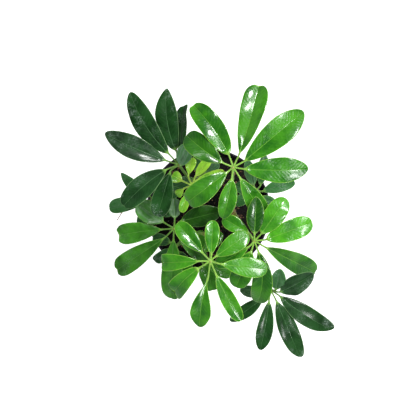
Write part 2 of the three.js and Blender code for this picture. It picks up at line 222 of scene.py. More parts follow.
def skin(rings):
    # Closed skin over rings of points: quads from each ring to the next, and a fan of triangles from
    # the middle of each end ring. A ring runs clockwise as seen by one who meets it head on.
    count, around, _ = rings.shape
    index = np.arange(count * around).reshape(count, around)
    beside = np.roll(index, -1, axis=1)
    quads = np.stack([index[:-1], index[1:], beside[1:], beside[:-1]], axis=-1).reshape(-1, 4)
    middle = np.full(around, count * around)
    startFan = np.stack([middle, index[0], beside[0]], axis=-1)
    endFan = np.stack([middle + 1, beside[-1], index[-1]], axis=-1)
    middles = [rings[0].mean(axis=0), rings[-1].mean(axis=0)]
    points = np.concatenate([rings.reshape(-1, 3), middles])
    return {"points": points, "quads": quads, "triangles": np.concatenate([startFan, endFan])}


def sideways(way):
    # the level direction to the left of a way
    return unit(np.stack([-way[..., 1], way[..., 0], np.zeros(way.shape[:-1])], axis=-1))


def tubeRings(line, radii, around, side=None):
    # Circles round a line: point = line + radius * (face * sin(turn) - side * cos(turn)), where side
    # is level and face stands on the line and the side.
    ahead = unit(np.gradient(line, axis=0))
    side = sideways(ahead) if side is None else np.broadcast_to(side, line.shape)
    face = np.cross(ahead, side)
    turn = np.linspace(0, 2 * np.pi, around, endpoint=False)[None, :, None]
    spokes = face[:, None] * np.sin(turn) - side[:, None] * np.cos(turn)
    return line[:, None] + spokes * np.reshape(radii, (-1, 1, 1))


def turned(profile, around):
    # Profile points (radius, height) turned clockwise round the Z axis.
    radius, height = np.array(profile, float).T[:, :, None]
    turn = np.linspace(0, 2 * np.pi, around, endpoint=False)
    level = np.broadcast_to(height, (len(height), around))
    return skin(np.stack([radius * np.cos(turn), -radius * np.sin(turn), level], axis=-1))


def rounded(profile, steps=5):
    # Corners of a profile made arcs: each point (radius, height, bend) gives the arc of that bend
    # between its two sides, as a quadratic curve through the corner's two ends.
    longest = 0.45  # share of a side that an arc may take
    places = np.array([point[:2] for point in profile], float)
    bends = [point[2] if len(point) > 2 else 0 for point in profile]
    made = [places[0]]
    for before, corner, after, bend in zip(places, places[1:], places[2:], bends[1:]):
        if bend <= 0:
            made.append(corner)
            continue
        ends = []
        for other in (before, after):
            way = other - corner
            size = np.linalg.norm(way)
            ends.append(corner + way / size * min(bend, longest * size))
        start, end = ends
        share = np.linspace(0, 1, steps)[:, None]
        made.extend((1 - share) ** 2 * start + 2 * share * (1 - share) * corner + share**2 * end)
    made.append(places[-1])
    return np.array(made)


def makePiece(name, parts, materials, slotName, *nodes, flat=False):
    # One object at the origin from parts in millimetres. A part has points, quads, triangles, the
    # number of its material, and marks: values for each of its points.
    points, faces, numbers = [], [], []
    marks = {key: [] for part in parts for key in part.get("marks", {})}
    count = 0
    for part in parts:
        facesBefore = len(faces)
        for kind in ("quads", "triangles"):
            if kind in part:
                faces.extend((part[kind] + count).tolist())
        numbers.append(np.broadcast_to(part.get("material", 0), len(faces) - facesBefore))
        for key, values in marks.items():
            values.append(np.broadcast_to(part["marks"][key], (len(part["points"]), 3)))
        points.append(part["points"])
        count += len(part["points"])
    mesh = bpy.data.meshes.new(name)
    mesh.from_pydata((np.concatenate(points) * mm).tolist(), [], faces)
    mesh.polygons.foreach_set("material_index", np.concatenate(numbers).astype(np.int32))
    mesh.polygons.foreach_set("use_smooth", np.full(len(faces), not flat))
    for key, values in marks.items():
        layer = mesh.attributes.new(key, "FLOAT_VECTOR", "POINT")
        layer.data.foreach_set("vector", np.concatenate(values).astype(np.float32).ravel())
    for material in materials:
        mesh.materials.append(material)
    piece = bpy.data.objects.new(name, mesh)
    bpy.context.scene.collection.objects.link(piece)
    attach(piece, "root")
    if nodes:
        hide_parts(*nodes)
    return piece


print("finishes")


def newGroup(name, inputs, outputs):
    group = bpy.data.node_groups.new(name, "ShaderNodeTree")
    for socket, value in inputs.items():
        made = group.interface.new_socket(socket, in_out="INPUT", socket_type="NodeSocketFloat")
        made.default_value = value
    for socket in outputs:
        group.interface.new_socket(socket, in_out="OUTPUT", socket_type="NodeSocketFloat")
    return group, group.nodes.new("NodeGroupInput"), group.nodes.new("NodeGroupOutput")


def mark(tree, name):
    # the three values that a piece's points hold under a name
    return split(tree, node(tree, "Attribute", attribute_name=name).outputs["Vector"])


# The pattern over every blade. Distances are in millimetres. A noise is its scale per metre, its detail
# and its roughness, and an edge is where a mask starts and where it is full.
markings = {
    "inputs": {"Vein Spacing": 4.2, "Vein Slope": 0.9, "Rib Width": 0.55, "Margin Width": 0.75, "Dust": 0.0},
    "ribWidths": (1.35, 0.45),  # of the rib's width, at the foot and at the tip
    "ribEdge": (0.35, 1),
    "veinNoise": (90, 1, 0.55),
    "veinBend": 5,
    "veinPower": 9,  # a higher one makes thinner veins
    "veinStart": (0.4, 2.2),  # away from the midrib
    "veinEnd": (0.75, 0.97),  # share of the way to the margin
    "leastShare": 0.04,
    "marginEdge": (0.35, 1.15),
    "footEdge": (0.5, 5),
    "cloudNoise": (60, 3, 0.55),
    "cloudEdge": (0.47, 0.66),
    "speckNoise": (620, 2, 0.7),
    "speckEdge": (0.38, 0.7),
    "dustAlong": (0.3, 0.95, 0.3, 1.5),  # less dust at the foot, more at the tip
    "mottleNoise": (38, 4, 0.6),
    "streakStretch": (4.5, 0.05, 1),
    "streakNoise": (1, 2, 0.55),
    "streakEdge": (0.4, 0.62),
    "groove": -0.22,  # its height, and that of the quilt
    "quilt": -0.09,
    # noises of the surface, each with its height
    "ripples": ((190, 3, 0.6, 0.42), (1100, 2, 0.55, 0.03), (85, 1, 0.55, 0.7), (430, 2, 0.5, 0.24)),
}


def makeBladePattern():
    # Masks over a blade, from its points' marks: bladeShare is (-1 right to 1 left, 0 foot to 1 tip,
    # 1 above and 0 below), bladeRun is (across mm, along mm, the leaflet's own number).
    group, given, result = newGroup(
        "bladePattern",
        markings["inputs"],
        ("Rib", "Vein", "Margin", "Foot", "Under", "Upper", "Dust", "Streak", "Mottle", "Height"),
    )
    given = given.outputs
    place = objectPlace(group)
    share, run = mark(group, "bladeShare"), mark(group, "bladeRun")
    across = maths(group, "ABSOLUTE", run["X"])
    wide = maths(group, "ABSOLUTE", share["X"])

    # the midrib narrows towards the tip
    ribWidth = times(group, given["Rib Width"], ramp(group, share["Y"], 0, 1, *markings["ribWidths"]))
    rib = ramp(group, maths(group, "DIVIDE", across, ribWidth), *markings["ribEdge"], 1, 0)

    # side veins run forwards from the midrib, bent a little by a slow noise
    slow = maths(group, "SUBTRACT", noise(group, place, *markings["veinNoise"]), 0.5)
    shift = maths(group, "MULTIPLY_ADD", slow, markings["veinBend"], run["Z"])
    back = times(group, across, given["Vein Slope"])
    along = maths(group, "ADD", maths(group, "SUBTRACT", run["Y"], back), shift)
    phase = times(group, maths(group, "DIVIDE", along, given["Vein Spacing"]), 2 * np.pi)
    wave = maths(group, "MULTIPLY_ADD", maths(group, "COSINE", phase), 0.5, 0.5)
    inside = ramp(group, across, *markings["veinStart"])
    inside = times(group, inside, ramp(group, wide, *markings["veinEnd"], 1, 0))
    vein = times(group, maths(group, "POWER", wave, markings["veinPower"]), inside)

    # the margin is where the way to the side or to the tip is short; the whole way is run / share
    ways = []
    for done, part in ((across, wide), (run["Y"], share["Y"])):
        part = maths(group, "MAXIMUM", part, markings["leastShare"])
        ways.append(maths(group, "SUBTRACT", maths(group, "DIVIDE", done, part), done))
    edgeWay = maths(group, "DIVIDE", maths(group, "MINIMUM", *ways), given["Margin Width"])
    margin = ramp(group, edgeWay, *markings["marginEdge"], 1, 0)
    foot = ramp(group, run["Y"], *markings["footEdge"], 1, 0)
    under = maths(group, "SUBTRACT", 1, share["Z"])

    # dust lies in clouds of fine specks on the upper side
    cloud = ramp(group, noise(group, place, *markings["cloudNoise"]), *markings["cloudEdge"])
    speck = ramp(group, noise(group, place, *markings["speckNoise"]), *markings["speckEdge"])
    rising = ramp(group, share["Y"], *markings["dustAlong"])
    dust = times(group, cloud, speck, share["Z"], rising, given["Dust"])
    mottle = noise(group, place, *markings["mottleNoise"])

    # pale streaks fan out from the foot
    lane = node(group, "CombineXYZ", X=share["X"], Y=run["Y"], Z=run["Z"])
    spread = node(group, "VectorMath", operation="MULTIPLY")
    feed(group, spread.inputs[0], lane.outputs[0])
    feed(group, spread.inputs[1], markings["streakStretch"])
    streak = ramp(group, noise(group, spread.outputs[0], *markings["streakNoise"]), *markings["streakEdge"])

    # a groove over the midrib, swellings between the veins, and ripples of several sizes
    height = times(group, rib, markings["groove"])
    height = maths(group, "MULTIPLY_ADD", times(group, wave, inside), markings["quilt"], height)
    for *grain, size in markings["ripples"]:
        height = maths(group, "MULTIPLY_ADD", noise(group, place, *grain), size, height)

    values = (rib, vein, margin, foot, under, share["Z"], dust, streak, mottle, height)
    for socket, value in zip(result.inputs, values):
        feed(group, socket, value)
    return group


bladePattern = makeBladePattern()

# Colours are linear. deep and light are the two ends of the mottled blade, line is the midrib and
# side veins, edge the thin margin, foot the blade's foot and its stalk, below the underside.
leafLooks = {
    "bright": {
        "deep": (0.018, 0.155, 0.007, 1), "light": (0.080, 0.385, 0.013, 1), "line": (0.16, 0.46, 0.05, 1),
        "edge": (0.34, 0.72, 0.08, 1), "foot": (0.30, 0.60, 0.08, 1), "below": (0.13, 0.30, 0.07, 1),
        "rough": 0.3, "specular": 0.35, "coat": 0.75, "coatRough": 0.11,
        "dust": 0.04, "vein": 0.10, "margin": 0.8, "relief": 1.0,
    },
    "middle": {
        "deep": (0.016, 0.105, 0.006, 1), "light": (0.056, 0.275, 0.014, 1), "line": (0.10, 0.32, 0.05, 1),
        "edge": (0.24, 0.52, 0.08, 1), "foot": (0.20, 0.46, 0.06, 1), "below": (0.10, 0.24, 0.06, 1),
        "rough": 0.34, "specular": 0.35, "coat": 0.5, "coatRough": 0.13,
        "dust": 0.12, "vein": 0.10, "margin": 0.6, "relief": 0.9,
    },
    "dark": {
        "deep": (0.005, 0.032, 0.006, 1), "light": (0.018, 0.085, 0.017, 1), "line": (0.06, 0.17, 0.06, 1),
        "edge": (0.20, 0.38, 0.15, 1), "foot": (0.20, 0.42, 0.07, 1), "below": (0.08, 0.18, 0.07, 1),
        "rough": 0.44, "specular": 0.09, "coat": 0.05, "coatRough": 0.16,
        "dust": 0.38, "vein": 0.10, "margin": 0.75, "relief": 0.9,
    },
    "young": {
        "deep": (0.150, 0.560, 0.030, 1), "light": (0.560, 1.000, 0.080, 1), "line": (0.75, 1.00, 0.20, 1),
        "edge": (0.70, 0.95, 0.12, 1), "foot": (0.62, 0.95, 0.14, 1), "below": (0.36, 0.60, 0.07, 1),
        "rough": 0.34, "specular": 0.4, "coat": 0.8, "coatRough": 0.11,
        "dust": 0.0, "vein": 0.12, "margin": 0.5, "relief": 0.9,
    },
}
# An edge may also have the values that its mask runs from and to. relief is strength and depth.
bladeFinish = {
    "tone": 0.8,  # how far a leaflet's tone, painted light and shade included, shifts it from deep to light
    "mottleEdge": (0.32, 0.68),
    "rib": 0.7,
    # the margin follows the leaflet's tone, painted light and shade included, by this share of it
    "rimToneAndShade": 0.6,
    "dustAndLightFilm": (0.9, 0.5),  # a leaflet's own dust, on some leaflets in shade also a painted lift of light: in its streaks, and all over
    "cleanMargin": -0.8,
    "rough": {"Mottle": 0.14, "Dust": 0.35, "Under": 0.25},
    "dustColour": (0.36, 0.48, 0.40, 1),
}
stalkFinish = {
    "coat": 0.1,
    "coatRough": 0.3,
    "deep": 0.7,  # of the foot's colour
    "streakNoise": (160, 3, 0.55),
    "streakEdge": (0.3, 0.7),
    "freckleNoise": (900, 1, 0.55),
    "freckleEdge": (0.66, 0.74, 0, 0.35),
    "freckleColour": (0.16, 0.10, 0.04, 1),
    "tan": (0.36, 0.25, 0.08, 1),
    "roughEdge": (0.2, 0.8, 0.34, 0.5),
    "reliefNoise": (700, 3, 0.55),
    "relief": (0.3, 0.3 * mm),
}
dryFinish = {
    "rough": 0.8, "noise": (300, 3, 0.55), "edge": (0.3, 0.7),
    "dark": (0.16, 0.07, 0.05, 1), "pale": (0.46, 0.24, 0.18, 1),
}


def makeBladeMaterial(name, look):
    # a leaflet's tone mark is (lighter or darker, more or less gloss, more or less dust); lighter or darker
    # is partly its own tone and partly painted light and shade, and the dust partly a painted lift of
    # leaflets in shade
    material, tree, shader = newMaterial(
        name, Coat_Roughness=look["coatRough"], Specular_IOR_Level=look["specular"]
    )
    masks = node(tree, "Group", node_tree=bladePattern, Dust=look["dust"]).outputs
    tone = mark(tree, "bladeTone")
    mottle = ramp(tree, masks["Mottle"], *bladeFinish["mottleEdge"])
    # tone shifts the colour from deep to light and scales it by 2 ** tone, and the margin by less; this gives
    # a leaflet its own tone and also paints light and shade onto it
    share = maths(tree, "MULTIPLY_ADD", tone["X"], bladeFinish["tone"], mottle)
    share = maths(tree, "MAXIMUM", maths(tree, "MINIMUM", share, 1), 0)
    colour = mixed(tree, share, look["deep"], look["light"])
    colour = mixed(tree, 1.0, colour, maths(tree, "POWER", 2, tone["X"]), "MULTIPLY")
    rimToneAndShade = maths(tree, "POWER", 2, times(tree, tone["X"], bladeFinish["rimToneAndShade"]))
    rim = mixed(tree, 1.0, look["edge"], rimToneAndShade, "MULTIPLY")
    # the leaflet's own pale film: dust, and on some leaflets that lie in shade painted light that lifts them
    dustAndLightFilm = times(tree, tone["Z"], maths(tree, "MULTIPLY_ADD", masks["Streak"], *bladeFinish["dustAndLightFilm"]))
    dust = maths(tree, "MULTIPLY_ADD", dustAndLightFilm, masks["Upper"], masks["Dust"])
    dust = times(tree, dust, maths(tree, "MULTIPLY_ADD", masks["Margin"], bladeFinish["cleanMargin"], 1))
    layers = (
        (times(tree, masks["Vein"], look["vein"]), look["line"]),
        (times(tree, masks["Rib"], bladeFinish["rib"]), look["line"]),
        (masks["Under"], look["below"]),
        (times(tree, masks["Margin"], look["margin"]), rim),
        (masks["Foot"], look["foot"]),
        (dust, bladeFinish["dustColour"]),
    )
    for share, over in layers:
        colour = mixed(tree, share, colour, over)
    rough = look["rough"] - bladeFinish["rough"]["Mottle"] / 2
    for mask, more in bladeFinish["rough"].items():
        rough = maths(tree, "MULTIPLY_ADD", masks[mask], more, rough)
    coat = maths(tree, "MAXIMUM", maths(tree, "ADD", tone["Y"], look["coat"]), 0)
    normal = relief(tree, masks["Height"], look["relief"], mm)
    dress(tree, shader, Base_Color=colour, Roughness=rough, Coat_Weight=coat, Normal=normal)
    return material


def makeStalkMaterial(name, look):
    # petioles and leaflet stalks: smooth green, a little streaked and freckled; on a petiole the second
    # value of bladeShare is how tan it is
    finish = stalkFinish
    material, tree, shader = newMaterial(name, Coat_Weight=finish["coat"], Coat_Roughness=finish["coatRough"])
    place = objectPlace(tree)
    streak = noise(tree, place, *finish["streakNoise"])
    deep = tuple(finish["deep"] * part for part in look["foot"][:3]) + (1,)
    colour = mixed(tree, ramp(tree, streak, *finish["streakEdge"]), deep, look["foot"])
    freckle = ramp(tree, noise(tree, place, *finish["freckleNoise"]), *finish["freckleEdge"])
    colour = mixed(tree, freckle, colour, finish["freckleColour"])
    colour = mixed(tree, mark(tree, "bladeShare")["Y"], colour, finish["tan"])
    rough = ramp(tree, streak, *finish["roughEdge"])
    normal = relief(tree, noise(tree, place, *finish["reliefNoise"]), *finish["relief"])
    dress(tree, shader, Base_Color=colour, Roughness=rough, Normal=normal)
    return material


def makeDryMaterial():
    material, tree, shader = newMaterial("dryStalk", Roughness=dryFinish["rough"])
    mask = ramp(tree, noise(tree, objectPlace(tree), *dryFinish["noise"]), *dryFinish["edge"])
    dress(tree, shader, Base_Color=mixed(tree, mask, dryFinish["dark"], dryFinish["pale"]))
    return material


bladeMaterials = {name: makeBladeMaterial(name + "Blade", look) for name, look in leafLooks.items()}
stalkMaterials = {name: makeStalkMaterial(name + "Stalk", look) for name, look in leafLooks.items()}
dryMaterial = makeDryMaterial()

print("stems and leaves")


def outline(widest, taper, tip, cut=1, notch=0):
    # where a blade is widest, how its foot tapers, how round its tip is, where the tip is cut off, and
    # how deep the notch in it goes
    return {"widest": widest, "taper": taper, "tip": tip, "cut": cut, "notch": notch}


outlines = {
    "spoon": outline(0.62, 0.85, 2.3),
    "oval": outline(0.5, 0.75, 1.8),
    "round": outline(0.56, 0.7, 2.3),
    "slender": outline(0.68, 1.4, 1.45),
    "pointed": outline(0.48, 0.8, 1.5),
    "notched": outline(0.66, 0.85, 2.6, 0.95, 0.035),
    "forked": outline(0.7, 0.85, 2.6, 0.82, 0.07),
    "square": outline(0.76, 0.75, 3, 0.95, 0.017),
    "blunt": outline(0.74, 0.85, 2.8, 0.97),
    "tapered": outline(0.6, 0.85, 1.7),
    "sharp": outline(0.58, 0.85, 1.4),
    "kite": outline(0.74, 1.1, 2.4, 0.96),
    "clipped": outline(0.84, 0.8, 3, 0.85),
}
rowNames = ("stalkBearing", "stalk", "bearing", "reach", "width", "lift", "droop")
plainLeaflet = {
    "sweep": 0,  # how far the blade's bearing turns from foot to tip
    "arch": 0,  # bends it and leaves its tip in place
    "roll": 0,  # leans it about its midrib
    "skew": 0,  # makes the half to the left of the midrib longer
    "fold": 12,  # how steeply both halves rise from the midrib
    "crown": 0.07,  # how far each half bulges
    "wave": 0.07,
    "tone": 0,  # lighter above 0, darker below; besides a leaflet's own tone this paints light and shade: it lifts leaflets that lie in shade under others and darkens some that lie in shade or lean away from the lamps
    "gloss": 0,
    # a pale film of its own: dust, and on some leaflets that lie in shade painted light as well
    "dust": 0,
}


def row(*places, **own):
    # A leaflet: the bearing and reach of its stalk, the bearing, reach and width of its blade, the lift
    # of the blade's foot and the droop from there to the tip. Then what is its own, which may be any
    # name of plainLeaflet, an outline, and numbers in place of the outline's.
    return {**plainLeaflet, **dict(zip(rowNames, places)), **own}


# Millimetres and degrees. A leaf's petiole joins its stem at a height and ends at its hub, and its seed
# is for waves and tones. A slot other than its look's may be named.
# A leaf's tone and dust, like a leaflet's, are partly painted light: the low leaves that lie in shade under
# the others are made lighter.
stems = {
    "stem_1": {"foot": (-9, 18), "top": (-13, 24, 209), "radius": 4.2},
    "stem_2": {"foot": (19, 2), "top": (25, 2, 266), "radius": 4.6},
    "stem_3": {"foot": (3, -22), "top": (4, -30, 257), "radius": 4.5},
}
leaves = {
    "leaf_1_1": {
        "stem": "stem_1", "seed": 0, "hub": (-18, 28, 235), "joins": 203, "look": "young", "outline": "round",
        "tone": -0.12,
        "leaflets": [
            row(111, 12, 78, 20, 12, 25, 25, outline="kite", tone=0.15),
            row(70, 11, 51, 27, 11, 25, 25, tone=0.3),
            row(52, 7, 19, 33, 9, 10, 15, tone=0.1),
            row(155, 12, 150, 13, 13.5, 20, 20, outline="blunt", tone=0.05),
            row(199, 10, 222, 10.5, 10, -20, 30, outline="kite", tone=0.35),
            row(239, 10, 252, 22, 11, -5, 20, tone=0.25),
            row(299, 6, 309, 17, 10, 0, 20),
        ],
    },
    "leaf_1_2": {
        "stem": "stem_1", "seed": 1, "hub": (-32, 50, 265), "joins": 180, "look": "dark", "outline": "oval",
        "dust": 0.015,
        "leaflets": [
            row(161.8, 15.1, 156.1, 72.4, 25.9, 8, 25, sweep=-10, arch=25, gloss=0.6, dust=0.02, taper=0.77,
                tip=1.57, widest=0.54, skew=-0.07),
            row(133, 17, 122, 77.5, 25, 15, 22, sweep=-28, outline="sharp", fold=5, roll=-12, dust=-0.03,
                tone=-0.1, taper=0.6, tip=1.7, skew=-0.03),
            row(102, 16, 98, 68, 25, 15, 25, sweep=-32, outline="sharp", fold=4, roll=-10, dust=-0.03,
                tone=-0.1, taper=0.55),
            row(82.3, 16.5, 85.7, 47.4, 20.1, 10, 20, roll=-45, sweep=-12.6, taper=0.5, widest=0.39, tip=3.04,
                skew=-0.06, cut=0.95),
            row(201, 15, 220, 61.5, 26, -5, 20, sweep=18, outline="round"),
            row(217, 12, 253, 51, 23, -15, 20, outline="spoon", dust=-0.1),
            row(320, 2, 70, 24, 18, 40, 50, outline="spoon", tone=1.6, dust=0.3),
        ],
    },
    "leaf_1_3": {
        "stem": "stem_1", "seed": 2, "hub": (-64, 12, 190), "joins": 150, "look": "dark", "outline": "oval",
        "tone": 1, "dust": 0.06, "dryStalk": [(-85, 6, 189), (-98, 1, 186), (-106, -11, 180)],
        "leaflets": [
            row(129, 8, 141, 41, 14, 10, 25, outline="pointed", sweep=-30, skew=-0.03),
            row(188, 8, 190, 43, 18, 8, 25, outline="round", sweep=8, widest=0.7, skew=0.03),
            row(251, 13, 235, 21, 15, 5, 25),
            row(31, 7, 18, 27, 17, 10, 25),
            row(315, 7, 326, 21, 16, 5, 25),
        ],
    },
    "leaf_1_4": {
        "stem": "stem_1", "seed": 3, "hub": (-10, 40, 165), "joins": 140, "look": "dark", "outline": "round",
        "tone": 0.7, "dust": 0.08,
        "leaflets": [
            row(39, 7, 36, 20, 14, 15, 30, dust=0.08),
            row(112, 7, 106, 17, 14, 15, 30),
            row(202, 7, 201, 29, 16, 10, 25),
            row(315, 7, 315, 20, 14, 10, 30),
        ],
    },
    "leaf_2_1": {
        "stem": "stem_2", "seed": 10, "hub": (26, 46, 305), "joins": 260, "look": "bright",
        "outline": "spoon", "tone": -0.06,
        "leaflets": [
            row(110.4, 14.4, 125.8, 63.7, 25, 8, 30, sweep=19.4, outline="blunt", crown=0.05, taper=0.51,
                widest=0.53, skew=0.03, tip=2.43),
            row(65.6, 16.1, 74, 72.9, 28.4, 15, 25, fold=22, crown=0.05, roll=-12, arch=12, outline="square",
                tone=-0.1, sweep=6.5, tip=2.4, taper=0.74, cut=0.94),
            row(29, 14, 39.9, 80, 30.1, 12, 28, arch=12, fold=13, crown=0.03, wave=0.04, tone=-0.1,
                gloss=-0.3, taper=0.7, tip=1.68, skew=0.02, sweep=0.6),
            row(350, 12, 0, 67, 27, 10, 28, fold=2, crown=0.03, outline="tapered", tone=-0.1, gloss=-0.2,
                sweep=8, taper=0.7, skew=0.05),
            row(303, 13, 303, 53, 21, -12, 22, fold=12, crown=-0.045, wave=0.02, arch=-16, tone=-0.15),
            row(263, 12, 257, 43, 19, -8, 25, sweep=-12, arch=15, outline="oval"),
            row(220, 8, 217, 52, 25, -2, 30, arch=35, tone=-0.3),
            row(157, 12, 142.5, 48, 25, 8, 45, sweep=-15, tone=-0.55, skew=-0.04),
        ],
    },
    "leaf_2_2": {
        "stem": "stem_2", "seed": 11, "hub": (49, -32, 285), "joins": 238, "look": "bright",
        "outline": "spoon", "tone": 0.1,
        "leaflets": [
            row(90, 7, 88, 40, 19, 30, 25, outline="oval", tone=-1.1, gloss=-0.2, arch=-12, fold=5,
                crown=0.06, wave=0.03),
            row(47, 11, 56, 45, 23, 22, 28, arch=35, fold=-8, crown=0.01, wave=0.04, taper=0.6, widest=0.56),
            row(7, 13, 20.5, 52, 23.5, 10, 30, fold=10, crown=0.03, tone=0.1, gloss=-0.4, taper=0.55,
                skew=0.01),
            row(330, 15, 333, 66, 24, -28, 42, arch=-40, outline="tapered", tone=-0.4, gloss=-0.5, taper=0.75,
                widest=0.72, tip=2.4),
            row(291, 12, 270, 58.5, 23.5, -12, 50, sweep=-36, arch=-20, tone=-0.4, gloss=-0.2, taper=0.75),
            row(254, 11.5, 247.5, 42.5, 24, -5, 35, outline="round"),
            row(227, 9, 210, 40, 17, -3, 20),
            row(124, 10, 150, 32, 17, 0, 20),
        ],
    },
    "leaf_2_3": {
        "stem": "stem_2", "seed": 12, "hub": (54, 23, 220), "joins": 185, "look": "dark", "outline": "oval",
        "tone": 1, "dust": 0.04,
        "leaflets": [
            row(350, 7, 15, 38, 15, 5, 25, sweep=-12, tip=2.1),
            row(52, 7, 81, 35, 14, 8, 25),
            row(119, 6, 105, 30, 14, 8, 25, tone=0.6, dust=0.2),
            row(218, 7, 210, 22, 13, 5, 25, outline="round"),
            row(312, 9, 330, 20, 10.5, 5, 25),
            row(172, 5, 167, 20, 16, 5, 25),
        ],
    },
    "leaf_3_1": {
        "stem": "stem_3", "seed": 20, "hub": (2, -53, 300), "joins": 252, "look": "bright",
        "outline": "spoon", "tone": -0.06,
        "leaflets": [
            row(133, 12, 130, 41, 19, 10, 30),
            row(81, 7, 88, 36, 16, 15, 30, tone=0.2),
            row(42, 7, 35, 42, 20, 8, 28, fold=4, crown=0.04),
            row(345, 12, 353, 49, 21, 5, 30, fold=0, crown=0.01, wave=0.02, roll=-2, arch=-18, tone=0.1,
                gloss=-0.1),
            row(293, 16, 298, 56.5, 17, -6, 20, tone=0.1, gloss=-0.1, arch=-12, fold=13, crown=-0.05,
                wave=0.02, sweep=8, taper=0.7, widest=0.56),
            row(261, 20, 261, 53, 23, -10, 25, outline="slender", sweep=16, crown=0.04, wave=0.04, tone=-0.15,
                skew=0.08),
            row(211.9, 14.5, 225.4, 37.1, 21.5, -12, 50, outline="clipped", skew=0.17, arch=-15, tone=0.15,
                sweep=20.6, taper=0.5, widest=0.82, tip=3.43, cut=0.81),
            row(180, 12, 183, 39, 19, 0, 50, outline="clipped", tone=0.1),
        ],
    },
    "leaf_3_2": {
        "stem": "stem_3", "seed": 21, "hub": (-39, -20, 212), "joins": 188, "look": "middle",
        "outline": "spoon",
        "leaflets": [
            row(149, 14, 145, 35.5, 25, 12, 25, outline="round", dust=0.22, gloss=-0.4),
            row(185, 14, 188, 51, 24.5, 5, 30, outline="forked", sweep=8),
            row(224, 16.5, 214, 66, 25, -3, 30, outline="notched", taper=0.8, widest=0.72, skew=0.03),
            row(267, 12, 267, 70, 25.5, -15, 25, tone=0.2, skew=0.06),
            row(85, 12, 91, 22, 16, 30, 45, outline="round", dust=0.24),
            row(297, 9, 318, 43, 16, -12, 20),
            row(47, 11, 14, 47, 24, 8, 15, outline="oval", tone=-0.5),
        ],
    },
    "leaf_3_3": {
        "stem": "stem_3", "seed": 22, "hub": (70, -89, 225), "joins": 160, "look": "dark", "outline": "oval",
        "leaflets": [
            row(11, 5.5, 82, 24.5, 18, 45, 10, tone=0.8, dust=0.1),
            row(351.4, 10, 30.8, 41.8, 23, 32, 20, roll=12, dust=0.04, gloss=0.1, sweep=8, widest=0.44,
                skew=0.05, taper=0.76, tip=1.85),
            row(326, 12.5, 327, 72, 22.5, -5, 20, gloss=0.3, fold=2, crown=0.03, wave=0.04, sweep=16,
                taper=0.72, tip=2.1, skew=0.16),
            row(297, 14, 293, 71, 22, -9, 16, gloss=0.3, fold=3, crown=0.04, wave=0.04, tip=2.2, skew=0.1),
            row(261, 13, 260.5, 57, 19, -8, 14, gloss=0.3, fold=8, crown=0.05, wave=0.04, sweep=-8,
                taper=0.65, widest=0.62),
            row(226, 12, 216, 46, 16, -5, 20, sweep=-6, skew=-0.03),
            row(196, 12, 170.5, 23.5, 14, 5, 20, tone=0.6, dust=0.1),
        ],
    },
    "leaf_3_4": {
        "stem": "stem_3", "seed": 23, "hub": (-10, -55, 172), "joins": 140, "look": "middle", "slot": "dark",
        "outline": "round", "tone": 0.25,
        "leaflets": [
            row(202, 7, 205, 22, 16, 10, 30),
            row(296.9, 8.5, 289.7, 32.4, 21, 5, 30, widest=0.36, sweep=-22, taper=0.59, tip=2.5, skew=-0.03,
                cut=0.95),
            row(333, 8, 329, 34, 16, 8, 30),
            row(56, 8, 48, 31, 15, 12, 30),
            row(98, 8, 85, 24, 15, 15, 30),
        ],
    },
    "leaf_3_5": {
        "stem": "stem_3", "seed": 24, "hub": (-38, -41, 165), "joins": 128, "look": "dark",
        "outline": "round", "tone": 0.7, "dust": 0.05,
        "leaflets": [
            row(213.4, 6.9, 215.6, 24.3, 13.3, 10, 30, sweep=-20.7, taper=0.65, widest=0.52, tip=3.05,
                skew=-0.1),
            row(149, 7, 164, 22, 14, 12, 30),
            row(292, 7, 298, 20, 14, 5, 30),
            row(45, 7, 40, 18, 14, 12, 30),
        ],
    },
}

stemShape = {
    "foot": 68, "taper": 0.2, "bow": 1.5, "rings": 150, "around": 28,
    "scar": 0.45, "scarSpacing": 17, "scarPower": 10,
    "bud": 8.0, "budRings": 13, "budPower": 1.6, "budEnd": 0.8, "budLeast": 0.15,
}
petioleShape = {
    "radius": 1.6, "foot": 3.3, "hub": 2.7, "steps": 60, "around": 18,
    "first": (0.4, 0.12), "second": (0.85, 0.5),  # handles of the curve: shares of the way out and up
    "footReach": 9, "flare": 0.9, "flareReach": 3.2,
    "cupSteps": 8, "cupHeight": 1.15, "cupPower": 2.6, "cupLeast": 0.02, "cupWidth": 0.96, "sunk": 0.6,
    "tanReach": 11, "tanHub": 0.5,
}
bladeShape = {
    "steps": 96,  # along the middle line, before the rows are set on it
    "rows": 52,
    "rowPowers": (1.15, 1.6),  # crowd the rows at foot and tip
    "columns": 12,  # from the midrib to a margin
    "columnCrowd": 0.75,  # how far they crowd at midrib and margins
    "bendPower": 1.5,
    "archMiddle": 0.4,
    "rollStart": 0.12,
    "leastHalf": 0.12,
    "footWidth": (1.3, 0.12),  # of the stalk's radius, and the share of the blade that it fades over
    "flatten": 0.1,  # share of the blade in which the round stalk becomes flat
    "waves": ((1.3, 1), (1.9, 0.8), (3.1, 0.5)),  # how many along the blade, and how high
    "phases": 4,  # drawn for each blade, though only three waves use them
    "crease": (0.004, 0.063),  # softens the fold at the midrib
    "notchPower": 8,
    "notchCorners": (0.8, 5),  # how far the tip's corners go back with it, and how narrow they are
    "skewPower": 5,
    "edgePower": 12,
    "thick": 0.38,  # half the blade's thickness
    "thickFrom": 1.2,  # half width from which it is that thick
    "rib": (0.85, 0.7, 1.15),  # of the stalk's radius, how it thins to the tip, and its half width
    "toneSpread": 0.12,
    "numberSpread": 20,
}
stalkShape = {
    "radius": 0.9, "rows": 11, "start": 0.05, "pull": 0.7,
    "swell": 0.3, "swells": ((0.1, 0.12), (1, 0.09)),  # where along the stalk, and how long
}
dryShape = {"radii": (0.8, 0.7, 0.6, 0.4), "steps": 28, "around": 10, "smoothed": 3}


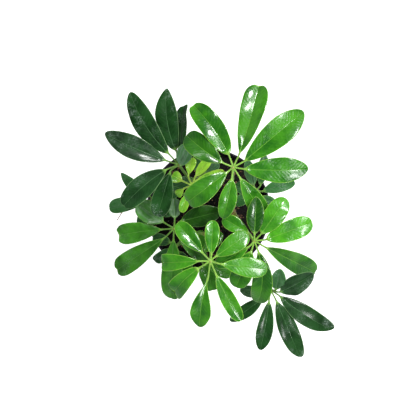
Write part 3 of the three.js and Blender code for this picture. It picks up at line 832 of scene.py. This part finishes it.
def stemPoints(stem, height):
    # the stem's middle line: straight from foot to top, plus a bow of sin(pi * share) along its lean
    foot, top = np.array(stem["foot"], float), np.array(stem["top"], float)
    share = (height - stemShape["foot"]) / (top[2] - stemShape["foot"])
    lean = top[:2] - foot
    bow = stemShape["bow"] * np.sin(np.pi * share) / np.linalg.norm(lean)
    flat = foot + lean * (share + bow)[..., None]
    return np.concatenate([flat, np.asarray(height, float)[..., None]], axis=-1)


def halfWidth(leaflet, share):
    # before the widest place sin(pi/2 * share / widest) ** taper, past it a quarter of a superellipse
    widest, tip = leaflet["widest"], leaflet["tip"]
    before = np.sin(np.pi / 2 * np.clip(share / widest, 0, 1)) ** leaflet["taper"]
    past = leaflet["cut"] * np.clip((share - widest) / (1 - widest), 0, 1)
    after = np.maximum(0, 1 - past**tip) ** (1 / tip)
    return np.where(share < widest, before, after)


def bladeFrame(leaflet, foot, share):
    # Pitch is lift - droop * share ** 1.5, plus arch * (0.4 - share ** 1.5), which bends the blade and
    # leaves its tip in place. Heading is bearing + sweep * (share - 0.5). The middle line adds up
    # steps in that direction, so that seen from above it is as long as the reach.
    def course(s):
        bend = s ** bladeShape["bendPower"]
        heading = np.radians(leaflet["bearing"] + leaflet["sweep"] * (s - 0.5))
        arch = leaflet["arch"] * (bladeShape["archMiddle"] - bend)
        pitch = np.radians(leaflet["lift"] + arch - leaflet["droop"] * bend)
        ahead = [np.cos(pitch) * np.cos(heading), np.cos(pitch) * np.sin(heading), np.sin(pitch)]
        return heading, pitch, np.stack(ahead, axis=-1)

    steps = bladeShape["steps"]
    _, pitch, ahead = course((np.arange(steps) + 0.5) / steps)
    stride = leaflet["reach"] / np.cos(pitch).sum()
    line = foot + np.concatenate([np.zeros((1, 3)), np.cumsum(ahead * stride, axis=0)])
    at = np.linspace(0, 1, steps + 1)
    points = np.stack([np.interp(share, at, line[:, k]) for k in range(3)], axis=-1)
    heading, _, ahead = course(share)
    side = np.stack([-np.sin(heading), np.cos(heading), np.zeros(len(share))], axis=-1)
    face = np.cross(ahead, side)
    roll = np.radians(leaflet["roll"]) * smooth(share / bladeShape["rollStart"])[:, None]
    rolledSide = side * np.cos(roll) + face * np.sin(roll)
    rolledFace = face * np.cos(roll) - side * np.sin(roll)
    return points, rolledSide, rolledFace, stride * steps


def stalkFrame(leaflet, hub, foot, share):
    # a cubic curve from the hub along the stalk's bearing to the foot along the blade's own
    turn = np.radians(leaflet["bearing"] - leaflet["sweep"] / 2)
    lift = np.radians(leaflet["lift"] + bladeShape["archMiddle"] * leaflet["arch"])
    into = np.array([np.cos(lift) * np.cos(turn), np.cos(lift) * np.sin(turn), np.sin(lift)])
    start = foot - hub
    end = into * np.linalg.norm(start) * stalkShape["pull"]
    s = share[:, None]
    points = (
        (2 * s**3 - 3 * s**2 + 1) * hub + (s**3 - 2 * s**2 + s) * start
        + (3 * s**2 - 2 * s**3) * foot + (s**3 - s**2) * end
    )
    slope = (6 * s**2 - 6 * s) * (hub - foot) + (3 * s**2 - 4 * s + 1) * start + (3 * s**2 - 2 * s) * end
    side = sideways(slope)
    return points, side, np.cross(unit(slope), side)


def leafletSkin(given, leaf, hub, draw):
    # Each row of the skin is a closed section: the upper side from right to left, then the lower side
    # back. Round for the stalk, it flattens into the blade, whose height above its middle line is
    # sin(fold) * |v| + crown * 4|v|(1 - |v|) + waves along it, all times the half width. Rows near the
    # tip are bent back by notch * share ** 8, most in the middle, less skew * share ** 5 * v, where v
    # is -1 at the right margin and 1 at the left.
    leaflet = {**outlines[given.get("outline", leaf["outline"])], **given}
    turn = np.radians(leaflet["stalkBearing"])
    rise = np.tan(np.radians(leaflet["lift"]))
    foot = hub + leaflet["stalk"] * np.array([np.cos(turn), np.sin(turn), rise])

    stalkShare = np.linspace(stalkShape["start"], 1, stalkShape["rows"], endpoint=False)
    footCrowd, tipCrowd = bladeShape["rowPowers"]
    share = 1 - (1 - np.linspace(0, 1, bladeShape["rows"]) ** footCrowd) ** tipCrowd
    *bladeParts, length = bladeFrame(leaflet, foot, share)
    stalkParts = stalkFrame(leaflet, hub, foot, stalkShare)
    middle, side, face = (np.concatenate(pair) for pair in zip(stalkParts, bladeParts))
    t = np.concatenate([np.zeros(len(stalkShare)), share])[:, None]

    # half the width of each row
    radius, reach, width = stalkShape["radius"], leaflet["reach"], leaflet["width"]
    swell = np.ones(len(stalkShare))
    for at, spread in stalkShape["swells"]:
        swell = swell + stalkShape["swell"] * np.exp(-(((stalkShare - at) / spread) ** 2))
    footWidth, fade = bladeShape["footWidth"]
    half = np.maximum(width / 2 * halfWidth(leaflet, share), bladeShape["leastHalf"])
    half = np.maximum(half, radius * footWidth * (1 - smooth(share / fade)))
    half = np.concatenate([radius * swell, half])[:, None]

    # columns crowd at the midrib and at the margins
    x = np.linspace(0, 1, bladeShape["columns"] + 1)
    v = x - bladeShape["columnCrowd"] / (2 * np.pi) * np.sin(2 * np.pi * x)
    v = np.concatenate([-v[:0:-1], v])
    wide = np.abs(v)
    across = v * half
    blade = smooth(t / bladeShape["flatten"])

    # the blade's height over its middle line; the second wave lifts one margin and lowers the other
    phases = draw.uniform(0, 2 * np.pi, bladeShape["phases"])
    wave = 0
    for (turns, size), phase, shape in zip(bladeShape["waves"], phases, (wide, v, wide)):
        wave = wave + size * np.sin(2 * np.pi * turns * t + phase) * wide * shape
    fold = np.radians(leaflet["fold"])
    soft, softAtRib = bladeShape["crease"]
    high = np.sin(fold) * (np.sqrt(v**2 + soft) - softAtRib)
    high = high + leaflet["crown"] * 4 * wide * (1 - wide) + leaflet["wave"] * wave
    high = high * half * blade
    out = across * (1 - blade * (1 - np.cos(fold)))
    corner, narrow = bladeShape["notchCorners"]
    dent = 0.5 + 0.5 * np.cos(np.pi * v) + corner * wide**narrow
    back = leaflet["notch"] * reach * t ** bladeShape["notchPower"] * dent
    back = back - leaflet["skew"] * reach * t ** bladeShape["skewPower"] * across * 2 / width
    forward = np.cross(side, face)

    # its thickness, with the midrib on the lower side
    ribHeight, ribThins, ribWidth = bladeShape["rib"]
    roundEdge = np.sqrt(np.maximum(0, 1 - v**2))
    bladeEdge = np.sqrt(np.maximum(0, 1 - v ** bladeShape["edgePower"]))
    thin = bladeShape["thick"] * np.minimum(1, half / bladeShape["thickFrom"])
    rib = radius * ribHeight * (1 - t) ** ribThins * np.exp(-((across / ribWidth) ** 2))
    above = (1 - blade) * half * roundEdge + blade * thin * bladeEdge
    below = (1 - blade) * half * roundEdge + blade * (thin + rib) * bladeEdge

    def placed(rise):
        return (
            middle[:, None] + side[:, None] * out[..., None]
            + face[:, None] * (high + rise)[..., None] - forward[:, None] * back[..., None]
        )

    def both(values):
        # values over the upper side, and the same on the way back under it
        values = np.broadcast_to(values, across.shape)
        return np.concatenate([values, values[:, -2:0:-1]], axis=1)

    def forPoints(*values):
        # the rows' values, and those for the middles of the two ends
        values = np.stack(values, axis=-1)
        return np.concatenate([values.reshape(-1, 3), values[0, :1], values[-1, :1]])

    rings = np.concatenate([placed(above), placed(-below)[:, -2:0:-1]], axis=1)
    made = skin(rings)
    upper = both(1.0)
    upper[:, len(v) :] = 0
    ownNumber = draw.uniform(0, bladeShape["numberSpread"])
    toneSpread = bladeShape["toneSpread"]
    # the set tones are painted light and shade as well as the leaflet's own tone; only the random spread is
    # its own
    tone = leaf.get("tone", 0) + leaflet["tone"] + draw.uniform(-toneSpread, toneSpread)
    made["marks"] = {
        "bladeShare": forPoints(both(v), both(t), upper),
        "bladeRun": forPoints(both(across), both(t * length), both(ownNumber)),
        "bladeTone": np.array([tone, leaflet["gloss"], leaf.get("dust", 0) + leaflet["dust"]]),
    }
    numbers = np.zeros((len(t) - 1, rings.shape[1]), int)
    numbers[: len(stalkShare)] = 1
    made["material"] = np.concatenate([numbers.ravel(), np.repeat([1, 0], rings.shape[1])])
    return made


def petioleSkin(stem, leaf, hub):
    # A cubic Bezier curve from the stem's middle line, out and then up to the hub. Its radius falls
    # from a swollen foot, and widens again into the hub's cup.
    shape = petioleShape
    start = stemPoints(stem, np.array(float(leaf["joins"])))
    out = np.array([hub[0] - start[0], hub[1] - start[1], 0])
    climb = np.array([0, 0, hub[2] - start[2]])
    first, second = (start + out * shape[name][0] + climb * shape[name][1] for name in ("first", "second"))
    upwards = np.array([0, 0, 1])
    top = hub - upwards * shape["sunk"] * shape["hub"]
    s = np.linspace(0, 1, shape["steps"])[:, None]
    line = (1 - s) ** 3 * start + 3 * s * (1 - s) ** 2 * first + 3 * s**2 * (1 - s) * second + s**3 * top
    way = np.concatenate([[0], np.cumsum(np.linalg.norm(np.diff(line, axis=0), axis=1))])
    fromHub = way[-1] - way
    swollen = (shape["foot"] - shape["radius"]) * np.exp(-((way / shape["footReach"]) ** 2))
    radii = shape["radius"] + swollen + shape["flare"] * np.exp(-((fromHub / shape["flareReach"]) ** 2))
    cup = np.linspace(0, 1, shape["cupSteps"] + 1)[1:]
    cupLine = top + upwards * (cup * shape["cupHeight"] * shape["hub"])[:, None]
    closing = np.sqrt(np.maximum(shape["cupLeast"], 1 - cup ** shape["cupPower"]))
    radii = np.concatenate([radii, shape["hub"] * closing * shape["cupWidth"]])
    around = shape["around"]
    made = skin(tubeRings(np.concatenate([line, cupLine]), radii, around, sideways(out)))
    made["material"] = 1
    # the middle of the hub is tan, and so is the foot where it leaves the bark
    tan = np.zeros((len(made["points"]), 3))
    tan[: len(way) * around, 1] = np.repeat(np.exp(-((way / shape["tanReach"]) ** 4)), around)
    tan[-1 - 3 * around :, 1] = shape["tanHub"]
    made["marks"] = {"bladeShare": tan, "bladeRun": np.zeros(3), "bladeTone": np.zeros(3)}
    return made


def drySkin(leaf):
    # a thin tube through the knots from the hub on; each point is smoothed to (before + 2 * own + after) / 4
    knots = np.array([leaf["hub"], *leaf["dryStalk"]], float)
    numbers = range(len(knots))
    at = np.linspace(0, len(knots) - 1, dryShape["steps"])
    line = np.stack([np.interp(at, numbers, knots[:, k]) for k in range(3)], axis=-1)
    for _ in range(dryShape["smoothed"]):
        line[1:-1] = (line[:-2] + 2 * line[1:-1] + line[2:]) / 4
    made = skin(tubeRings(line, np.interp(at, numbers, dryShape["radii"]), dryShape["around"]))
    made["material"] = 2
    made["marks"] = {key: np.zeros(3) for key in ("bladeShare", "bladeRun", "bladeTone")}
    return made


def makeLeaf(name, stem, leaf):
    draw = np.random.default_rng(leaf["seed"])
    hub = np.array(leaf["hub"], float)
    parts = [petioleSkin(stem, leaf, hub)]
    parts += [leafletSkin(given, leaf, hub, draw) for given in leaf["leaflets"]]
    materials = [bladeMaterials[leaf["look"]], stalkMaterials[leaf["look"]]]
    if "dryStalk" in leaf:
        parts.append(drySkin(leaf))
        materials.append(dryMaterial)
    makePiece(name + "_blades", parts, materials, "leaf_" + leaf.get("slot", leaf["look"]), name)


barkFinish = {
    "stretch": (1, 1, 0.25),
    "streakNoise": (420, 4, 0.65),
    "streakEdge": (0.3, 0.7),
    "dark": (0.15, 0.10, 0.05, 1),
    "pale": (0.52, 0.34, 0.16, 1),
    "patchNoise": (60, 3, 0.55),
    "patchEdge": (0.5, 0.75, 0, 0.25),
    "patchColour": (0.22, 0.24, 0.10, 1),
    "scarPower": 14,
    "scarShow": 0.5,
    "scarColour": (0.10, 0.065, 0.04, 1),
    "spotNoise": (780, 1, 0.55),
    "spotEdge": (0.64, 0.72, 0, 0.5),
    "spotColour": (0.62, 0.52, 0.38, 1),
    "spotHeight": 0.8,
    "roughEdge": (0.3, 0.7, 0.62, 0.85),
    "relief": (0.7, 0.4 * mm),
}


def makeBarkMaterial():
    finish = barkFinish
    material, tree, shader = newMaterial("stemBark")
    place = objectPlace(tree)
    stretch = node(tree, "Mapping", Vector=place, Scale=finish["stretch"])
    streak = noise(tree, stretch.outputs[0], *finish["streakNoise"])
    colour = mixed(tree, ramp(tree, streak, *finish["streakEdge"]), finish["dark"], finish["pale"])
    patch = ramp(tree, noise(tree, place, *finish["patchNoise"]), *finish["patchEdge"])
    colour = mixed(tree, patch, colour, finish["patchColour"])
    turn = times(tree, split(tree, place)["Z"], 2 * np.pi / (stemShape["scarSpacing"] * mm))
    scar = maths(tree, "POWER", maths(tree, "MAXIMUM", maths(tree, "COSINE", turn), 0), finish["scarPower"])
    colour = mixed(tree, times(tree, scar, finish["scarShow"]), colour, finish["scarColour"])
    spot = ramp(tree, noise(tree, place, *finish["spotNoise"]), *finish["spotEdge"])
    colour = mixed(tree, spot, colour, finish["spotColour"])
    height = maths(tree, "ADD", streak, times(tree, spot, finish["spotHeight"]))
    rough = ramp(tree, streak, *finish["roughEdge"])
    dress(tree, shader, Base_Color=colour, Roughness=rough, Normal=relief(tree, height, *finish["relief"]))
    return material


def makeStem(name, stem, material):
    # radius = foot radius * (1 - taper * share) + scar * sharpened cosine of the height; then a bud
    shape = stemShape
    top = stem["top"][2]
    height = np.linspace(shape["foot"], top, shape["rings"])
    share = (height - shape["foot"]) / (top - shape["foot"])
    ring = np.maximum(0, np.cos(2 * np.pi * height / shape["scarSpacing"])) ** shape["scarPower"]
    radii = stem["radius"] * (1 - shape["taper"] * share) + shape["scar"] * ring
    bud = np.linspace(0, 1, shape["budRings"] + 1)[1:]
    closing = (1 - bud ** shape["budPower"]) ** shape["budEnd"]
    budRadii = stem["radius"] * (1 - shape["taper"]) * closing + shape["budLeast"]
    line = stemPoints(stem, height)
    tip = line[-1] + np.array([0, 0, shape["bud"]]) * bud[:, None]
    side = sideways(np.subtract(stem["top"][:2], stem["foot"]))
    rings = tubeRings(np.concatenate([line, tip]), np.concatenate([radii, budRadii]), shape["around"], side)
    makePiece(name + "_wood", [skin(rings)], [material], "bark", name)


bark = makeBarkMaterial()
for stemName, stem in stems.items():
    makeStem(stemName, stem, bark)
    for leafName, leaf in leaves.items():
        if leaf["stem"] == stemName:
            makeLeaf(leafName, stem, leaf)

print("pot")

pot = {
    "height": 125, "rimRadius": 75, "rimBand": 13, "rimStep": 2.2, "rimFlare": 0.6, "lip": 2.2,
    "baseRadius": 55, "wall": 1.6, "footWidth": 4, "footHeight": 2, "centreDisc": 22, "slope": 1,
    "around": 144,
    "bends": {"foot": 0.5, "base": 1.2, "step": 0.4, "flare": 0.6, "edge": 1.2, "lip": 1.0, "inside": 1.5},
    "holeCircle": 39, "holeRadius": 4.5, "holes": 8, "holeAround": 28, "drill": (-5, 10),
    "closed": 0.01,  # radius at which a profile ends on the axis
    "sharpFrom": 50,  # degrees between two faces
}
potFinish = {
    "specular": 0.5,
    "cloudNoise": (40, 4, 0.55),
    "cloudEdge": (0.35, 0.7),
    "dark": (0.026, 0.024, 0.032, 1),
    "pale": (0.050, 0.047, 0.060, 1),
    "dustNoise": (700, 3, 0.55),
    "dustEdge": (0.55, 0.75),
    "dustCloudEdge": (0.45, 0.7),
    "dustShow": 0.22,
    "dustColour": (0.20, 0.16, 0.13, 1),
    "roughEdge": (0.3, 0.7, 0.36, 0.52),
    "reliefNoise": (1800, 2, 0.55),
    "relief": (0.15, 0.2 * mm),
}


def potInside(height):
    # the radius inside the tapered wall, under the rim band
    under = pot["height"] - pot["rimBand"]
    widening = pot["rimRadius"] - pot["rimStep"] - pot["baseRadius"]
    return pot["baseRadius"] + widening * height / under - pot["wall"]


def makePotMaterial():
    finish = potFinish
    material, tree, shader = newMaterial("potPlastic", Specular_IOR_Level=finish["specular"])
    place = objectPlace(tree)
    cloud = noise(tree, place, *finish["cloudNoise"])
    colour = mixed(tree, ramp(tree, cloud, *finish["cloudEdge"]), finish["dark"], finish["pale"])
    specks = ramp(tree, noise(tree, place, *finish["dustNoise"]), *finish["dustEdge"])
    dust = times(tree, specks, ramp(tree, cloud, *finish["dustCloudEdge"]), finish["dustShow"])
    colour = mixed(tree, dust, colour, finish["dustColour"])
    rough = ramp(tree, cloud, *finish["roughEdge"])
    normal = relief(tree, noise(tree, place, *finish["reliefNoise"]), *finish["relief"])
    dress(tree, shader, Base_Color=colour, Roughness=rough, Normal=normal)
    return material


def makePot():
    # profile from the middle of the underside, out and up the wall, over the lip and down inside
    under = pot["height"] - pot["rimBand"]
    floor = pot["footHeight"] + pot["wall"]
    rim, lip, flare, high = pot["rimRadius"], pot["lip"], pot["rimFlare"], pot["height"]
    base, foot, disc, raised = pot["baseRadius"], pot["footWidth"], pot["centreDisc"], pot["footHeight"]
    slope, bends, closed = pot["slope"], pot["bends"], pot["closed"]
    profile = rounded(
        [
            (closed, 0),
            (disc, 0, bends["foot"]),
            (disc + slope, raised, bends["foot"]),
            (base - foot - slope, raised, bends["foot"]),
            (base - foot, 0, bends["foot"]),
            (base, 0, bends["base"]),
            (rim - pot["rimStep"], under, bends["step"]),
            (rim - flare, under + flare, bends["flare"]),
            (rim, high - slope, bends["edge"]),
            (rim - slope, high, bends["edge"]),
            (rim - lip, high - slope, bends["lip"]),
            (rim - lip - flare, under + lip, bends["inside"]),
            (potInside(under), under, bends["inside"]),
            (potInside(floor), floor, bends["inside"]),
            (closed, floor),
        ]
    )
    shell = turned(profile, pot["around"])
    piece = makePiece("pot_shell", [shell], [makePotMaterial()], "pot_plastic", "pot")
    # the drainage holes are cut by drills, which are then taken away
    start, end = pot["drill"]
    radius = pot["holeRadius"]
    drills = []
    for number in range(pot["holes"]):
        turn = 2 * np.pi * number / pot["holes"]
        drill = turned([(closed, start), (radius, start), (radius, end), (closed, end)], pot["holeAround"])
        drill["points"] = drill["points"] + pot["holeCircle"] * np.array([np.cos(turn), np.sin(turn), 0])
        drills.append(drill)
    tool = makePiece("drills", drills, [], "pot_plastic")
    cut = piece.modifiers.new("holes", "BOOLEAN")
    cut.object = tool
    cut.operation = "DIFFERENCE"
    cut.solver = "EXACT"
    bpy.context.view_layer.objects.active = piece
    bpy.ops.object.modifier_apply(modifier=cut.name)
    bpy.data.objects.remove(tool)
    piece.data.set_sharp_from_angle(angle=np.radians(pot["sharpFrom"]))


makePot()

print("soil")

soil = {
    "depth": 13, "mound": 3, "moundRadius": 62, "crumbHeight": 0.9, "gap": 0.3, "seed": 5,
    "rings": 84, "around": 250, "edge": 0.6, "middle": 0.05,
    "bark": {"count": 520, "size": (1.0, 4.2), "flat": (0.35, 0.7), "sunk": 0.25},
    "crumbs": {"count": 2300, "size": (0.5, 1.7), "flat": (0.7, 1.0), "sunk": 0.3},
    "perlite": {"count": 70, "size": (0.6, 1.5), "flat": (0.8, 1.0), "sunk": 0.1},
    "narrow": (0.4, 0.95),  # a stone's width, as a share of its length
    "dents": (0.75, 1.2),
    "tip": 0.35,
    "scatterHeight": 110,  # the stones lie within the wall's radius at this height
    "scatterEdge": 3.5,  # and this far from it
    "bodyGrain": 0.5,
}
soilLooks = {
    # a dark and a pale colour, and the roughness
    "pottingSoil": ((0.002, 0.0016, 0.0014, 1), (0.008, 0.006, 0.005, 1), 1),
    "barkChips": ((0.012, 0.006, 0.004, 1), (0.36, 0.20, 0.10, 1), 0.8),
    "soilCrumbs": ((0.002, 0.0016, 0.0014, 1), (0.026, 0.017, 0.012, 1), 1),
    "perliteGrains": ((0.42, 0.40, 0.36, 1), (0.75, 0.73, 0.68, 1), 0.85),
}
soilFinish = {"speckNoise": (900, 4, 0.7), "speckEdge": (0.25, 0.75, 0.35, 1.3), "relief": (0.8, 0.5 * mm)}


def soilHeight(x, y):
    # A low mound, which falls with the square of the way from the middle, the crumbs of the solid, and
    # two finer sorts: each is a product of sines across one another, bent by slower ones.
    fromCentre = np.hypot(x, y) / soil["moundRadius"]
    crumbs = np.sin(0.31 * x + 1.3) * np.sin(0.37 * y + 0.4) + np.sin(0.53 * x - 0.47 * y)
    fine = np.sin(1.9 * x + 2 * np.sin(0.7 * y)) * np.sin(2.1 * y + 2 * np.sin(0.6 * x)) * 0.35
    finer = np.sin(4.3 * x + 3 * np.sin(1.1 * y)) * np.sin(3.9 * y + 3 * np.sin(1.3 * x)) * 0.2
    mound = pot["height"] - soil["depth"] + soil["mound"] * (1 - fromCentre**2)
    return mound + soil["crumbHeight"] * crumbs + fine + finer


def soilBody():
    # rings from the middle of the underside, up the wall's inside, and in over the crumbly top
    floor = pot["footHeight"] + pot["wall"] + soil["gap"]
    edge = pot["height"] - soil["depth"] - soil["mound"]
    low, high = (potInside(height) - soil["gap"] for height in (floor, edge))
    profile = [(soil["middle"], floor), (low, floor), (high, edge)]
    radii = np.linspace(high - soil["edge"], soil["middle"], soil["rings"])
    body = turned(profile + [(radius, edge) for radius in radii], soil["around"])
    points = body["points"]
    # every point past the profile, but not the middle of the underside, which is the last but one
    top = np.r_[len(profile) * soil["around"] : len(points) - 2, len(points) - 1]
    points[top, 2] = soilHeight(points[top, 0], points[top, 1])
    body["marks"] = {"grain": np.array([soil["bodyGrain"], 0, 0])}
    return body


def stone():
    # the twelve corners and twenty faces of an icosahedron of radius 1
    g = (1 + 5**0.5) / 2
    points = [(-1, g, 0), (1, g, 0), (-1, -g, 0), (1, -g, 0), (0, -1, g), (0, 1, g)]
    points += [(0, -1, -g), (0, 1, -g), (g, 0, -1), (g, 0, 1), (-g, 0, -1), (-g, 0, 1)]
    faces = [(0, 11, 5), (0, 5, 1), (0, 1, 7), (0, 7, 10), (0, 10, 11), (1, 5, 9), (5, 11, 4), (11, 10, 2)]
    faces += [(10, 7, 6), (7, 1, 8), (3, 9, 4), (3, 4, 2), (3, 2, 6), (3, 6, 8), (3, 8, 9), (4, 9, 5)]
    faces += [(2, 4, 11), (6, 2, 10), (8, 6, 7), (9, 8, 1)]
    return unit(np.array(points, float)), np.array(faces)


def swung(first, second, angle):
    # two coordinates of each stone's corners, turned by the stone's angle
    cos, sin = np.cos(angle)[:, None], np.sin(angle)[:, None]
    return first * cos - second * sin, first * sin + second * cos


def scattered(kind, draw, material):
    # Stones of one kind: each is stretched, dented, turned and set on the soil, partly sunk in it.
    look = soil[kind]
    corners, faces = stone()
    count = look["count"]
    size = draw.uniform(*look["size"], (count, 1, 1)) / 2
    narrow, flat = draw.uniform(*soil["narrow"], count), draw.uniform(*look["flat"], count)
    ratio = np.stack([np.ones(count), narrow, flat], axis=-1)
    points = corners * draw.uniform(*soil["dents"], (count, len(corners), 1)) * ratio[:, None] * size
    turn, tip = draw.uniform(0, 2 * np.pi, count), draw.normal(0, soil["tip"], count)
    x, y, z = points[..., 0], points[..., 1], points[..., 2]
    x, z = swung(x, z, tip)
    x, y = swung(x, y, turn)
    reach = np.sqrt(draw.uniform(0, 1, count)) * (potInside(soil["scatterHeight"]) - soil["scatterEdge"])
    angle = draw.uniform(0, 2 * np.pi, count)
    atX, atY = reach * np.cos(angle), reach * np.sin(angle)
    lift = soilHeight(atX, atY) + size[:, 0, 0] * ratio[:, 2] * (1 - look["sunk"] * 2)
    placed = np.stack([x + atX[:, None], y + atY[:, None], z + lift[:, None]], axis=-1).reshape(-1, 3)
    index = (faces + len(corners) * np.arange(count)[:, None, None]).reshape(-1, 3)
    grain = np.repeat(draw.uniform(0, 1, count), len(corners))
    marks = {"grain": np.stack([grain, grain * 0, grain * 0], axis=-1)}
    return {"points": placed, "triangles": index, "material": material, "marks": marks}


def makeSoilMaterials():
    # the first value of the mark grain is how pale a stone is
    made = []
    for name, (dark, pale, rough) in soilLooks.items():
        material, tree, shader = newMaterial(name, Roughness=rough)
        speck = noise(tree, objectPlace(tree), *soilFinish["speckNoise"])
        share = times(tree, mark(tree, "grain")["X"], ramp(tree, speck, *soilFinish["speckEdge"]))
        colour = mixed(tree, maths(tree, "MINIMUM", share, 1), dark, pale)
        dress(tree, shader, Base_Color=colour, Normal=relief(tree, speck, *soilFinish["relief"]))
        made.append(material)
    return made


def makeSoil():
    draw = np.random.default_rng(soil["seed"])
    parts = [soilBody()]
    parts += [scattered(kind, draw, number) for number, kind in enumerate(("bark", "crumbs", "perlite"), 1)]
    makePiece("soil_mix", parts, makeSoilMaterials(), "potting_soil", "soil", flat=True)


makeSoil()
